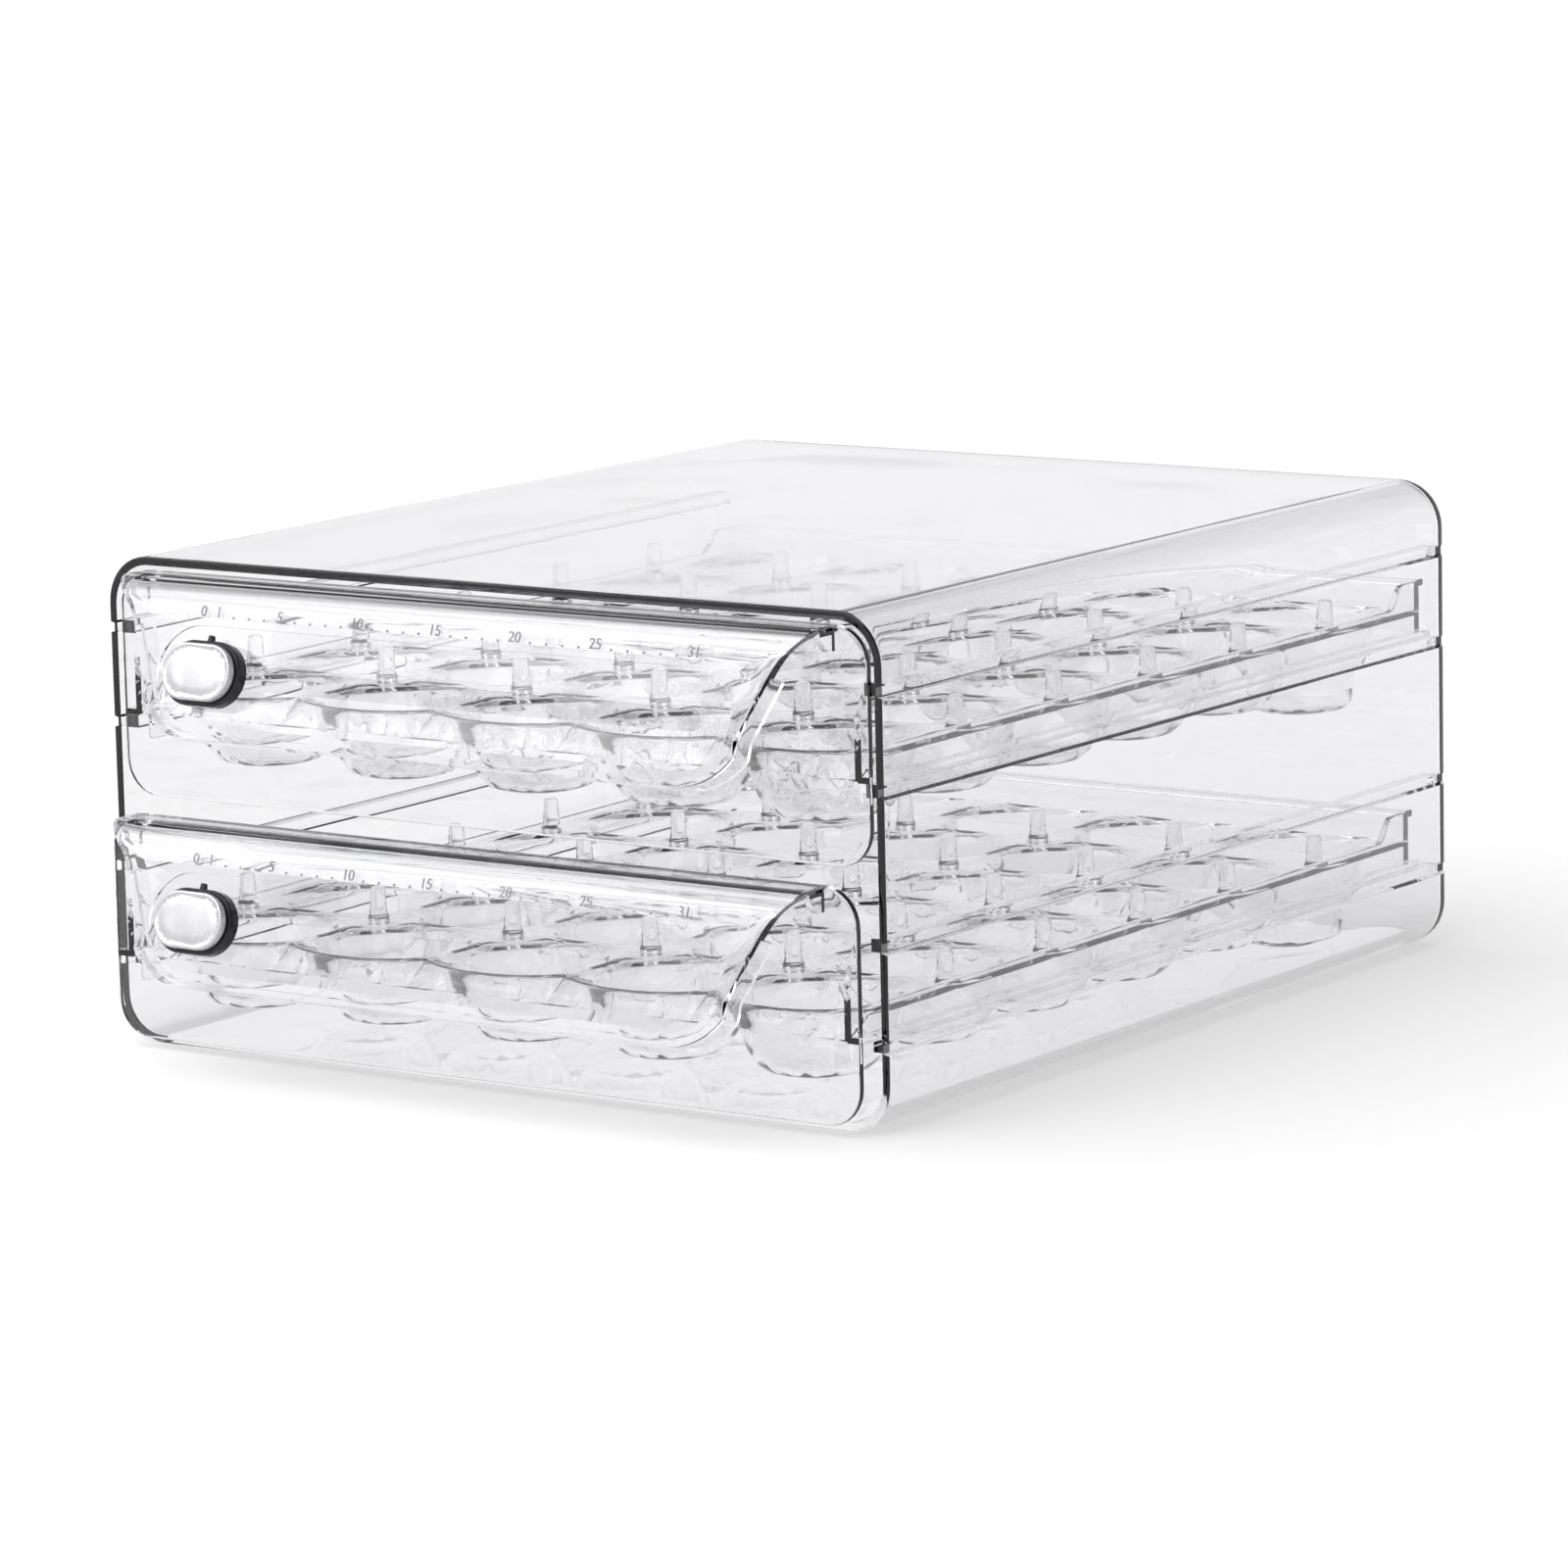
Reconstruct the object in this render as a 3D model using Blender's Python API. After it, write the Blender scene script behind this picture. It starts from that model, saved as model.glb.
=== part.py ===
"""A clear two-layer egg box: a case with two egg drawers, each with a sliding date marker on its handle.

Run it in Blender 4.5: blender --background --python part.py. Lengths are in metres.
The origin is the centre of the case's underside. The drawers face -Y, and +X is on the right of someone
who stands in front of them.
"""

from math import atan2, cos, floor, pi, radians, sin, tan

import bmesh
import bpy
from mathutils import Matrix, Vector

# Case
CASE_WIDTH = 0.248
CASE_DEPTH = 0.281
CASE_HEIGHT = 0.1315
CASE_WALL = 0.0023
CASE_CORNER = 0.013
GROOVE_HEIGHT = 0.0024
GROOVE_DEPTH = 0.0016
RAIL_HEIGHT = 0.0034
RAIL_REACH = 0.0044
RAIL_SETBACK = 0.0032
CORNER_STEPS = 6
SWEEP_STEPS = 6
RISE_STEPS = 4
BEND_STEPS = 5
SLOT_STEPS = 6

# How far the drawers keep clear of the case, of each other and of the rails
TOUCH_GAP = 0.0003
SLIDE_GAP = 0.0004
PANEL_SIDE_GAP = 0.0017
PANEL_TOP_GAP = 0.0012
PANEL_BOTTOM_GAP = 0.0006
PANEL_SPACING = 0.0036
LOWER_DRAWER_AJAR = 0.007

# Drawer walls
PANEL_THICKNESS = 0.002
PANEL_CORNER = 0.010
SHEET = 0.0016
SIDE_WALL = 0.002
SIDE_WALL_HEIGHT = 0.0084
FLANGE_REACH = 0.003
FLANGE_ABOVE_PANEL_FOOT = 0.0213
TONGUE_RUN = 0.0135
REAR_WALL_HEIGHT = 0.0150
REAR_RISE_RUN = 0.0075
REAR_RISE_START = 0.0165
REAR_LIP = 0.0026
REAR_LIP_OVERHANG = 0.0004
REAR_LIP_SETBACK = 0.0006
REAR_LIP_RISE = 0.0003
RIB_THICKNESS = 0.0012
RIB_INSET = 0.0021
RIB_RUN = 0.008
RIB_FOOT = -0.006
RIB_TOP = 0.001
PANEL_TOP_ABOVE_TONGUE = 0.018

# Egg cups. Eggs have one size, so the room there is sets how many cups fit.
CUP_PITCH = 0.045
CUP_SIDES = 8
CUP_MOUTH_RADIUS = 0.0196
CUP_MOUTH_HEIGHT = 0.0061
CUP_WAIST_RADIUS = 0.0178
CUP_WAIST_DEPTH = 0.006
CUP_FLOOR_RADIUS = 0.0138
CUP_DEPTH = 0.012
REAR_CUP_MOUTH_RADIUS = 0.0178
REAR_CUP_WAIST_RADIUS = 0.0148
REAR_CUP_WAIST_DEPTH = 0.0085
REAR_CUP_FLOOR_RADIUS = 0.0136
REAR_CUP_DEPTH = 0.0183
POST_HEIGHT = 0.0158
SADDLE_HEIGHT = 0.0070
DECK_MARGIN = 0.0011
COLUMN_MARGIN = 0.0043
ROW_FRONT_MARGIN = 0.0230
ROW_REAR_MARGIN = 0.0203

# Handle apron, measured from the front panel's face and the flange's underside
APRON_THICKNESS = 0.0026
APRON_TILT = radians(18.3)
APRON_FOOT_REACH = 0.0254
APRON_FOOT_DROP = 0.039
APRON_BEND = 0.008
APRON_SIDE_INSET = 0.0304
APRON_FLANK = radians(65.8)
APRON_FOOT_CORNER = 0.010
APRON_FLARE = 0.006
GUSSET_WIDTH = 0.002
GUSSET_DROP = 0.0065
GUSSET_RUN = 0.0065
GUSSET_INSET = 0.0095

# Marker slot and scale
SLOT_HEIGHT = 0.0057
SLOT_ABOVE_FOOT = 0.0162
DAY_STEP = 0.00507
DAYS = 31
STORED_DAY = 1

# Marker
MARKER_WIDTH = 0.025
MARKER_HEIGHT = 0.0173
SHOE_THICKNESS = 0.0032
CAP_INSET = 0.0011
CAP_THICKNESS = 0.0026
CAP_CHAMFER = 0.0009
NIB_WIDTH = 0.0022
NIB_HEIGHT = 0.0016
NIB_ROOT = 0.001
SHANK_WIDTH = 0.0072
BARB = 0.0005
BARB_THICKNESS = 0.0009
CLIP_WIDTH = 0.015
CLIP_HEIGHT = 0.0105
CLIP_THICKNESS = 0.0014
PEG_WIDTH = 0.005
PEG_HEIGHT = 0.0028
PEG_LENGTH = 0.0012
OVAL_STEPS = 4

# A cutter passes this far beyond what it cuts, and a joined piece sinks this far into the next
CUTTER_REACH = 0.01
SINK = 0.0002

# Sizes that follow from those above
CASE_INNER_X = CASE_WIDTH / 2 - CASE_WALL
RAIL_TIP_X = CASE_INNER_X - RAIL_REACH
PANEL_HALF_WIDTH = CASE_INNER_X - PANEL_SIDE_GAP
PANEL_ROOM = CASE_HEIGHT - 2 * CASE_WALL - PANEL_TOP_GAP - PANEL_BOTTOM_GAP
PANEL_HEIGHT = (PANEL_ROOM - PANEL_SPACING) / 2
LAYER_PITCH = PANEL_HEIGHT + PANEL_SPACING
LOWER_FLANGE_Z = CASE_WALL + PANEL_BOTTOM_GAP + FLANGE_ABOVE_PANEL_FOOT
LOWER_RAIL_Z = LOWER_FLANGE_Z - TOUCH_GAP - RAIL_HEIGHT / 2
PANEL_TOP = PANEL_HEIGHT - FLANGE_ABOVE_PANEL_FOOT
SIDE_WALL_OUT = RAIL_TIP_X - SLIDE_GAP
SIDE_WALL_IN = SIDE_WALL_OUT - SIDE_WALL
TONGUE_HEIGHT = PANEL_TOP - PANEL_TOP_ABOVE_TONGUE
RAIL_SPACING = TONGUE_HEIGHT + 2 * TOUCH_GAP + RAIL_HEIGHT
DRAWER_LENGTH = CASE_DEPTH - CASE_WALL - TOUCH_GAP
REAR_WALL_OUT = DRAWER_LENGTH - REAR_LIP
REAR_WALL_IN = REAR_WALL_OUT - SIDE_WALL
APRON_FOOT = PANEL_TOP - APRON_FOOT_DROP
APRON_HALF_FOOT = PANEL_HALF_WIDTH - APRON_SIDE_INSET
SLOT_Z = APRON_FOOT + SLOT_ABOVE_FOOT
SLOT_Y = -APRON_FOOT_REACH + SLOT_ABOVE_FOOT * tan(APRON_TILT)
SLOT_HALF_LENGTH = DAY_STEP * DAYS / 2 + SHANK_WIDTH / 2 + TOUCH_GAP
STORED_X = DAY_STEP * (STORED_DAY - DAYS / 2)


def clear_scene():
    for thing in list(bpy.data.objects):
        bpy.data.objects.remove(thing, do_unlink=True)


def plastic(name, colour, roughness, metallic=0.0, clear=False):
    material = bpy.data.materials.new(name)
    material.use_nodes = True
    shader = material.node_tree.nodes["Principled BSDF"]
    shader.inputs["Base Color"].default_value = (*colour, 1.0)
    shader.inputs["Roughness"].default_value = roughness
    shader.inputs["Metallic"].default_value = metallic
    if clear:
        shader.inputs["Transmission Weight"].default_value = 1.0
        shader.inputs["IOR"].default_value = 1.5
    material.diffuse_color = (*colour, 0.35 if clear else 1.0)
    return material


def place(name, mesh, material, parent=None, location=(0, 0, 0), tilt=0.0):
    """Adds a mesh to the scene as a named part."""
    part = bpy.data.objects.new(name, mesh)
    bpy.context.scene.collection.objects.link(part)
    mesh.materials.clear()
    mesh.materials.append(material)
    part.parent = parent
    part.location = location
    part.rotation_euler.x = tilt
    return part


def pivot(name, location, parent=None, tilt=0.0):
    """An empty on a joint's axis, which carries the pieces that move together."""
    empty = bpy.data.objects.new(name, None)
    bpy.context.scene.collection.objects.link(empty)
    empty.parent = parent
    empty.location = location
    empty.rotation_euler.x = tilt
    return empty


def mesh_from(bm):
    bmesh.ops.recalc_face_normals(bm, faces=bm.faces)
    mesh = bpy.data.meshes.new("shape")
    bm.to_mesh(mesh)
    bm.free()
    return mesh


def box(low, high):
    size = Vector(high) - Vector(low)
    middle = (Vector(high) + Vector(low)) / 2
    bm = bmesh.new()
    stretch = Matrix.Diagonal((*size, 1))
    bmesh.ops.create_cube(bm, size=1.0, matrix=Matrix.Translation(middle) @ stretch)
    return mesh_from(bm)


def prism(outline, axis, start, end):
    """A closed outline, pushed along Y from (x, z) points or along X from (y, z) points."""
    bm = bmesh.new()
    if axis == "Y":
        corners = [bm.verts.new((x, start, z)) for x, z in outline]
        push = (0, end - start, 0)
    else:
        corners = [bm.verts.new((start, y, z)) for y, z in outline]
        push = (end - start, 0, 0)
    cap = bm.faces.new(corners)
    wall = bmesh.ops.extrude_face_region(bm, geom=[cap])
    moved = [item for item in wall["geom"] if isinstance(item, bmesh.types.BMVert)]
    bmesh.ops.translate(bm, verts=moved, vec=push)
    return mesh_from(bm)


def combine(mesh, other, operation):
    """The mesh after a Boolean with another mesh."""
    bodies = []
    for shape in (mesh, other):
        body = bpy.data.objects.new("body", shape)
        bpy.context.scene.collection.objects.link(body)
        bodies.append(body)
    cut = bodies[0].modifiers.new("cut", "BOOLEAN")
    cut.operation = operation
    cut.solver = "EXACT"
    cut.object = bodies[1]
    bpy.context.view_layer.update()
    graph = bpy.context.evaluated_depsgraph_get()
    result = bpy.data.meshes.new_from_object(bodies[0].evaluated_get(graph))
    for body in bodies:
        bpy.data.objects.remove(body, do_unlink=True)
    bm = bmesh.new()
    bm.from_mesh(result)
    bmesh.ops.triangulate(bm, faces=bm.faces)
    bm.to_mesh(result)
    bm.free()
    return result


def arc(centre, radius, start, end, steps):
    """Points on a circle, from one angle to another, both in radians."""
    turns = [start + (end - start) * step / steps for step in range(steps + 1)]
    return [(centre[0] + radius * cos(turn), centre[1] + radius * sin(turn)) for turn in turns]


def rounded(corner, before, after, radius, steps):
    """The arc that rounds off a corner between two neighbouring points of an outline."""
    corner = Vector(corner)
    to_before = (Vector(before) - corner).normalized()
    to_after = (Vector(after) - corner).normalized()
    half = to_before.angle(to_after) / 2
    centre = corner + (to_before + to_after).normalized() * (radius / sin(half))
    first = corner + to_before * (radius / tan(half)) - centre
    last = corner + to_after * (radius / tan(half)) - centre
    start = atan2(first.y, first.x)
    sweep = (atan2(last.y, last.x) - start + pi) % (2 * pi) - pi
    return arc(centre, radius, start, start + sweep, steps)


def rounded_box(half_width, low, high, radius, steps):
    """A rectangle with round corners in (x, z), as its four corners' arcs, from the foot's right one on."""
    centre_x = half_width - radius
    right_foot = arc((centre_x, low + radius), radius, -pi / 2, 0, steps)
    right_top = arc((centre_x, high - radius), radius, 0, pi / 2, steps)
    left_top = [(-x, z) for x, z in reversed(right_top)]
    left_foot = [(-x, z) for x, z in reversed(right_foot)]
    return right_foot, right_top, left_top, left_foot


def rail_heights():
    low_pair = (LOWER_RAIL_Z, LOWER_RAIL_Z + RAIL_SPACING)
    return [height + layer * LAYER_PITCH for layer in (0, 1) for height in low_pair]


def with_steps(half_width, low, high, radius, step_height, step_depth):
    """The case's section, outside or inside, with a square step at each rail."""
    corners = rounded_box(half_width, low, high, radius, CORNER_STEPS)
    right_foot, right_top, left_top, left_foot = corners
    right_steps = []
    for height in rail_heights():
        bottom = height - step_height / 2
        top = height + step_height / 2
        inset = half_width - step_depth
        right_steps += [(half_width, bottom), (inset, bottom), (inset, top), (half_width, top)]
    left_steps = [(-x, z) for x, z in reversed(right_steps)]
    return right_foot + right_steps + right_top + left_top + left_steps + left_foot


def case_mesh():
    """A sleeve closed at the back, its side walls stepped in at the rails."""
    front = -CASE_DEPTH / 2
    back = CASE_DEPTH / 2
    skin = with_steps(CASE_WIDTH / 2, 0, CASE_HEIGHT, CASE_CORNER, GROOVE_HEIGHT, GROOVE_DEPTH)
    inner_corner = CASE_CORNER - CASE_WALL
    low = CASE_WALL
    high = CASE_HEIGHT - CASE_WALL
    hollow = with_steps(CASE_INNER_X, low, high, inner_corner, RAIL_HEIGHT, RAIL_REACH)
    mouth = sum(rounded_box(CASE_INNER_X, low, high, inner_corner, CORNER_STEPS), [])
    before = front - CUTTER_REACH
    mesh = prism(skin, "Y", front, back)
    mesh = combine(mesh, prism(hollow, "Y", before, back - CASE_WALL), "DIFFERENCE")
    return combine(mesh, prism(mouth, "Y", before, front + RAIL_SETBACK), "DIFFERENCE")


def cup_layout():
    """Centres of the cup columns and rows, and the cell borders between and around them."""
    columns = floor(2 * SIDE_WALL_IN / CUP_PITCH)
    column_pitch = (2 * SIDE_WALL_IN - COLUMN_MARGIN) / columns
    rows = floor((REAR_WALL_IN - PANEL_THICKNESS) / CUP_PITCH)
    first_row = PANEL_THICKNESS + ROW_FRONT_MARGIN
    row_pitch = (REAR_WALL_IN - ROW_REAR_MARGIN - first_row) / (rows - 1)
    centres_x = [(column - (columns - 1) / 2) * column_pitch for column in range(columns)]
    centres_y = [first_row + row * row_pitch for row in range(rows)]
    border_x = SIDE_WALL_IN - DECK_MARGIN
    borders_x = [-border_x] + [x + column_pitch / 2 for x in centres_x[:-1]] + [border_x]
    borders_y = [y + row_pitch / 2 for y in centres_y[:-1]]
    borders_y = [PANEL_THICKNESS + DECK_MARGIN] + borders_y + [REAR_WALL_IN - DECK_MARGIN]
    return centres_x, centres_y, borders_x, borders_y


def deck_mesh():
    """The moulded sheet of egg cups, with low saddles between them and a post where four of them meet."""
    centres_x, centres_y, borders_x, borders_y = cup_layout()
    bm = bmesh.new()
    shared = {}

    def border_vertex(across, along):
        """across and along count half cells, so that even numbers are corners."""
        if (across, along) not in shared:
            last_x = 2 * len(centres_x)
            last_y = 2 * len(centres_y)
            x = borders_x[across // 2] if across % 2 == 0 else centres_x[across // 2]
            y = borders_y[along // 2] if along % 2 == 0 else centres_y[along // 2]
            inside = 0 < across < last_x and 0 < along < last_y
            is_post = inside and across % 2 == 0 and along % 2 == 0
            shared[across, along] = bm.verts.new((x, y, POST_HEIGHT if is_post else SADDLE_HEIGHT))
        return shared[across, along]

    around = [(1, 0), (1, 1), (0, 1), (-1, 1), (-1, 0), (-1, -1), (0, -1), (1, -1)]
    for row, y in enumerate(centres_y):
        if row == len(centres_y) - 1:
            mouth = (REAR_CUP_MOUTH_RADIUS, CUP_MOUTH_HEIGHT)
            waist = (REAR_CUP_WAIST_RADIUS, -REAR_CUP_WAIST_DEPTH)
            base = (REAR_CUP_FLOOR_RADIUS, -REAR_CUP_DEPTH)
        else:
            mouth = (CUP_MOUTH_RADIUS, CUP_MOUTH_HEIGHT)
            waist = (CUP_WAIST_RADIUS, -CUP_WAIST_DEPTH)
            base = (CUP_FLOOR_RADIUS, -CUP_DEPTH)
        for column, x in enumerate(centres_x):
            rings = [[border_vertex(2 * column + 1 + i, 2 * row + 1 + j) for i, j in around]]
            for radius, height in (mouth, waist, base):
                ring = []
                for side in range(CUP_SIDES):
                    turn = 2 * pi * side / CUP_SIDES
                    ring.append(bm.verts.new((x + radius * cos(turn), y + radius * sin(turn), height)))
                rings.append(ring)
            for outer, inner in zip(rings, rings[1:]):
                for side in range(CUP_SIDES):
                    beside = (side + 1) % CUP_SIDES
                    bm.faces.new((outer[side], outer[beside], inner[beside], inner[side]))
            bm.faces.new(rings[-1])
    bmesh.ops.recalc_face_normals(bm, faces=bm.faces)
    if sum(face.normal.z for face in bm.faces) < 0:
        bmesh.ops.reverse_faces(bm, faces=bm.faces)
    sheet = bpy.data.meshes.new("sheet")
    bm.to_mesh(sheet)
    bm.free()
    body = bpy.data.objects.new("deck", sheet)
    bpy.context.scene.collection.objects.link(body)
    thicken = body.modifiers.new("thickness", "SOLIDIFY")
    thicken.thickness = SHEET
    thicken.offset = -1
    bpy.context.view_layer.update()
    graph = bpy.context.evaluated_depsgraph_get()
    mesh = bpy.data.meshes.new_from_object(body.evaluated_get(graph))
    bpy.data.objects.remove(body, do_unlink=True)
    return mesh


def side_wall_outline():
    """(y, z) of a side wall: high at the panel, swept down to its low edge, raised at the rear."""
    front = PANEL_THICKNESS + TOUCH_GAP
    rear = REAR_WALL_OUT - SIDE_WALL / 3
    sweep_height = TONGUE_HEIGHT - SIDE_WALL_HEIGHT
    sweep = []
    for step in range(SWEEP_STEPS + 1):
        turn = pi + (pi / 2) * step / SWEEP_STEPS
        sweep.append((front + TONGUE_RUN * (1 + cos(turn)), TONGUE_HEIGHT + sweep_height * sin(turn)))
    rise_start = REAR_WALL_OUT - REAR_RISE_START
    rise_height = REAR_WALL_HEIGHT - SIDE_WALL_HEIGHT
    rise = []
    for step in range(RISE_STEPS + 1):
        share = step / RISE_STEPS
        climb = rise_height * (1 - cos(pi * share)) / 2
        rise.append((rise_start + REAR_RISE_RUN * share, SIDE_WALL_HEIGHT + climb))
    foot = SHEET / 4
    return [(rear, foot), (front, foot)] + sweep + rise + [(rear, REAR_WALL_HEIGHT)]


def apron_mesh():
    """The handle: a plate bent down from the panel's top, wider there, with a slot for the marker."""
    slope = Vector((-sin(APRON_TILT), -cos(APRON_TILT)))
    foot = Vector((-APRON_FOOT_REACH, APRON_FOOT))
    bend = foot - slope * ((PANEL_TOP - APRON_FOOT) / cos(APRON_TILT))
    root = Vector((PANEL_THICKNESS / 2, PANEL_TOP))
    back_step = Vector((cos(APRON_TILT), -sin(APRON_TILT))) * APRON_THICKNESS
    inner_foot = foot + back_step
    inner_root = root - Vector((0, APRON_THICKNESS))
    climb = (inner_root.y - inner_foot.y) / cos(APRON_TILT)
    inner_bend = inner_foot - slope * climb
    inner_radius = APRON_BEND - APRON_THICKNESS
    outline = [tuple(root)] + rounded(bend, root, foot, APRON_BEND, BEND_STEPS) + [tuple(foot)]
    outline.append(tuple(inner_foot))
    outline += rounded(inner_bend, inner_foot, inner_root, inner_radius, BEND_STEPS)
    outline.append(tuple(inner_root))
    plate = prism(outline, "X", -PANEL_HALF_WIDTH, PANEL_HALF_WIDTH)

    top_x = APRON_HALF_FOOT + (PANEL_TOP - APRON_FOOT) / tan(APRON_FLANK)
    foot_corner = (APRON_HALF_FOOT, APRON_FOOT - SINK / 2)
    flank_top = (top_x, PANEL_TOP - SINK)
    flare_end = (top_x + 2 * APRON_FLARE, PANEL_TOP - SINK)
    right = rounded(foot_corner, (0, foot_corner[1]), flank_top, APRON_FOOT_CORNER, BEND_STEPS)
    right += rounded(flank_top, foot_corner, flare_end, APRON_FLARE, BEND_STEPS - 1)
    right += [(right[-1][0], PANEL_TOP + CUTTER_REACH)]
    left = [(-x, z) for x, z in reversed(right)]
    keep = prism(right + left, "Y", -APRON_FOOT_REACH - CUTTER_REACH, PANEL_THICKNESS + CUTTER_REACH)
    plate = combine(plate, keep, "INTERSECT")

    slot = prism(oval(2 * SLOT_HALF_LENGTH, SLOT_HEIGHT, SLOT_STEPS), "Y", -CUTTER_REACH, CUTTER_REACH)
    slot.transform(Matrix.Translation((0, SLOT_Y, SLOT_Z)) @ Matrix.Rotation(-APRON_TILT, 4, "X"))
    return combine(plate, slot, "DIFFERENCE")


def front_mesh():
    """The drawer's front: panel, apron, a gusset under each end of the apron and two ribs behind.

    Its origin, like the other drawer pieces', is on the panel's face, level with the flanges' underside.
    """
    panel_foot = PANEL_TOP - PANEL_HEIGHT
    corners = rounded_box(PANEL_HALF_WIDTH, panel_foot, PANEL_TOP, PANEL_CORNER, CORNER_STEPS)
    mesh = combine(prism(sum(corners, []), "Y", 0, PANEL_THICKNESS), apron_mesh(), "UNION")
    embed = PANEL_THICKNESS / 2
    gusset_out = PANEL_HALF_WIDTH - GUSSET_INSET
    rib_out = SIDE_WALL_IN - RIB_INSET
    for side in (-1, 1):
        ends = sorted((side * (gusset_out - GUSSET_WIDTH), side * gusset_out))
        low = (ends[0], -GUSSET_RUN, PANEL_TOP - GUSSET_DROP)
        mesh = combine(mesh, box(low, (ends[1], embed, PANEL_TOP - APRON_THICKNESS / 2)), "UNION")
        ends = sorted((side * (rib_out - RIB_THICKNESS), side * rib_out))
        mesh = combine(mesh, box((ends[0], embed, RIB_FOOT), (ends[1], RIB_RUN, RIB_TOP)), "UNION")
    return mesh


def frame_mesh():
    """The drawer's two side walls with their flanges, and the rear wall with its lip."""
    front = PANEL_THICKNESS + TOUCH_GAP
    rear_half = SIDE_WALL_IN + SIDE_WALL / 2
    flange_out = RAIL_TIP_X + FLANGE_REACH
    flange_rear = REAR_WALL_OUT - SIDE_WALL / 4
    rear_top = REAR_WALL_HEIGHT - REAR_LIP_RISE
    mesh = box((-rear_half, REAR_WALL_IN, SHEET / 2), (rear_half, REAR_WALL_OUT, rear_top))
    for side in (-1, 1):
        ends = sorted((side * SIDE_WALL_IN, side * SIDE_WALL_OUT))
        mesh = combine(mesh, prism(side_wall_outline(), "X", *ends), "UNION")
        ends = sorted((side * (SIDE_WALL_IN + SIDE_WALL / 3), side * flange_out))
        mesh = combine(mesh, box((ends[0], front, 0), (ends[1], flange_rear, SHEET)), "UNION")
    lip_half = rear_half + REAR_LIP_OVERHANG
    lip_low = (-lip_half, REAR_WALL_IN + REAR_LIP_SETBACK, REAR_WALL_HEIGHT - SHEET)
    lip_high = (lip_half, DRAWER_LENGTH, REAR_WALL_HEIGHT + REAR_LIP_RISE)
    return combine(mesh, box(lip_low, lip_high), "UNION")


def oval(width, height, steps=OVAL_STEPS):
    """A slot-shaped outline in (x, z), round at both ends."""
    radius = height / 2
    end = width / 2 - radius
    right = arc((end, 0), radius, -pi / 2, pi / 2, steps)
    return right + arc((-end, 0), radius, pi / 2, 3 * pi / 2, steps)


def shoe_mesh():
    """The marker's dark body: a pointer, a socket for the cap and a barbed shank through the slot."""
    face = -TOUCH_GAP
    shank_height = SLOT_HEIGHT - 2 * TOUCH_GAP
    clip_back = APRON_THICKNESS + TOUCH_GAP + CLIP_THICKNESS
    tail = clip_back + TOUCH_GAP + BARB_THICKNESS
    mesh = prism(oval(MARKER_WIDTH, MARKER_HEIGHT, 2 * OVAL_STEPS), "Y", face - SHOE_THICKNESS, face)
    shank = prism(oval(SHANK_WIDTH, shank_height), "Y", face - SHOE_THICKNESS / 2, tail)
    mesh = combine(mesh, shank, "UNION")
    barb_width = SHANK_WIDTH + 2 * (TOUCH_GAP + BARB)
    barb_low = (-barb_width / 2, clip_back + TOUCH_GAP, -shank_height / 4)
    mesh = combine(mesh, box(barb_low, (barb_width / 2, tail - SINK / 2, shank_height / 4)), "UNION")
    top = MARKER_HEIGHT / 2
    nib_low = (-NIB_WIDTH / 2, face - SHOE_THICKNESS / 2, top - NIB_ROOT)
    mesh = combine(mesh, box(nib_low, (NIB_WIDTH / 2, face - SINK, top + NIB_HEIGHT)), "UNION")
    socket_x = PEG_WIDTH / 2 + TOUCH_GAP
    socket_z = PEG_HEIGHT / 2 + TOUCH_GAP
    socket_floor = face - SHOE_THICKNESS + PEG_LENGTH + TOUCH_GAP
    socket_mouth = face - SHOE_THICKNESS - CUTTER_REACH
    socket = box((-socket_x, socket_mouth, -socket_z), (socket_x, socket_floor, socket_z))
    return combine(mesh, socket, "DIFFERENCE")


def cap_mesh():
    """The marker's silver cap: an oval with a chamfered rim, a shallow crown and a peg behind."""
    back = -2 * TOUCH_GAP - SHOE_THICKNESS
    width = MARKER_WIDTH - 2 * CAP_INSET
    height = MARKER_HEIGHT - 2 * CAP_INSET
    levels = (
        (0, back),
        (0, back - CAP_THICKNESS + CAP_CHAMFER),
        (CAP_CHAMFER, back - CAP_THICKNESS + CAP_CHAMFER / 4),
        (3 * CAP_CHAMFER, back - CAP_THICKNESS),
    )
    bm = bmesh.new()
    rings = []
    for inset, depth in levels:
        outline = oval(width - 2 * inset, height - 2 * inset, 2 * OVAL_STEPS)
        rings.append([bm.verts.new((x, depth, z)) for x, z in outline])
    for outer, inner in zip(rings, rings[1:]):
        count = len(outer)
        for side in range(count):
            beside = (side + 1) % count
            bm.faces.new((outer[side], outer[beside], inner[beside], inner[side]))
    bm.faces.new(rings[0])
    bm.faces.new(rings[-1])
    peg_low = (-PEG_WIDTH / 2, back - CAP_THICKNESS / 2, -PEG_HEIGHT / 2)
    peg = box(peg_low, (PEG_WIDTH / 2, back + PEG_LENGTH, PEG_HEIGHT / 2))
    return combine(mesh_from(bm), peg, "UNION")


def clip_mesh():
    """The retaining plate that the shank's barbs hold behind the apron."""
    near = APRON_THICKNESS + TOUCH_GAP
    far = near + CLIP_THICKNESS
    plate = prism(oval(CLIP_WIDTH, CLIP_HEIGHT), "Y", near, far)
    hole_width = SHANK_WIDTH + 2 * TOUCH_GAP
    hole = prism(oval(hole_width, SLOT_HEIGHT), "Y", near - CUTTER_REACH, far + CUTTER_REACH)
    return combine(plate, hole, "DIFFERENCE")


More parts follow.
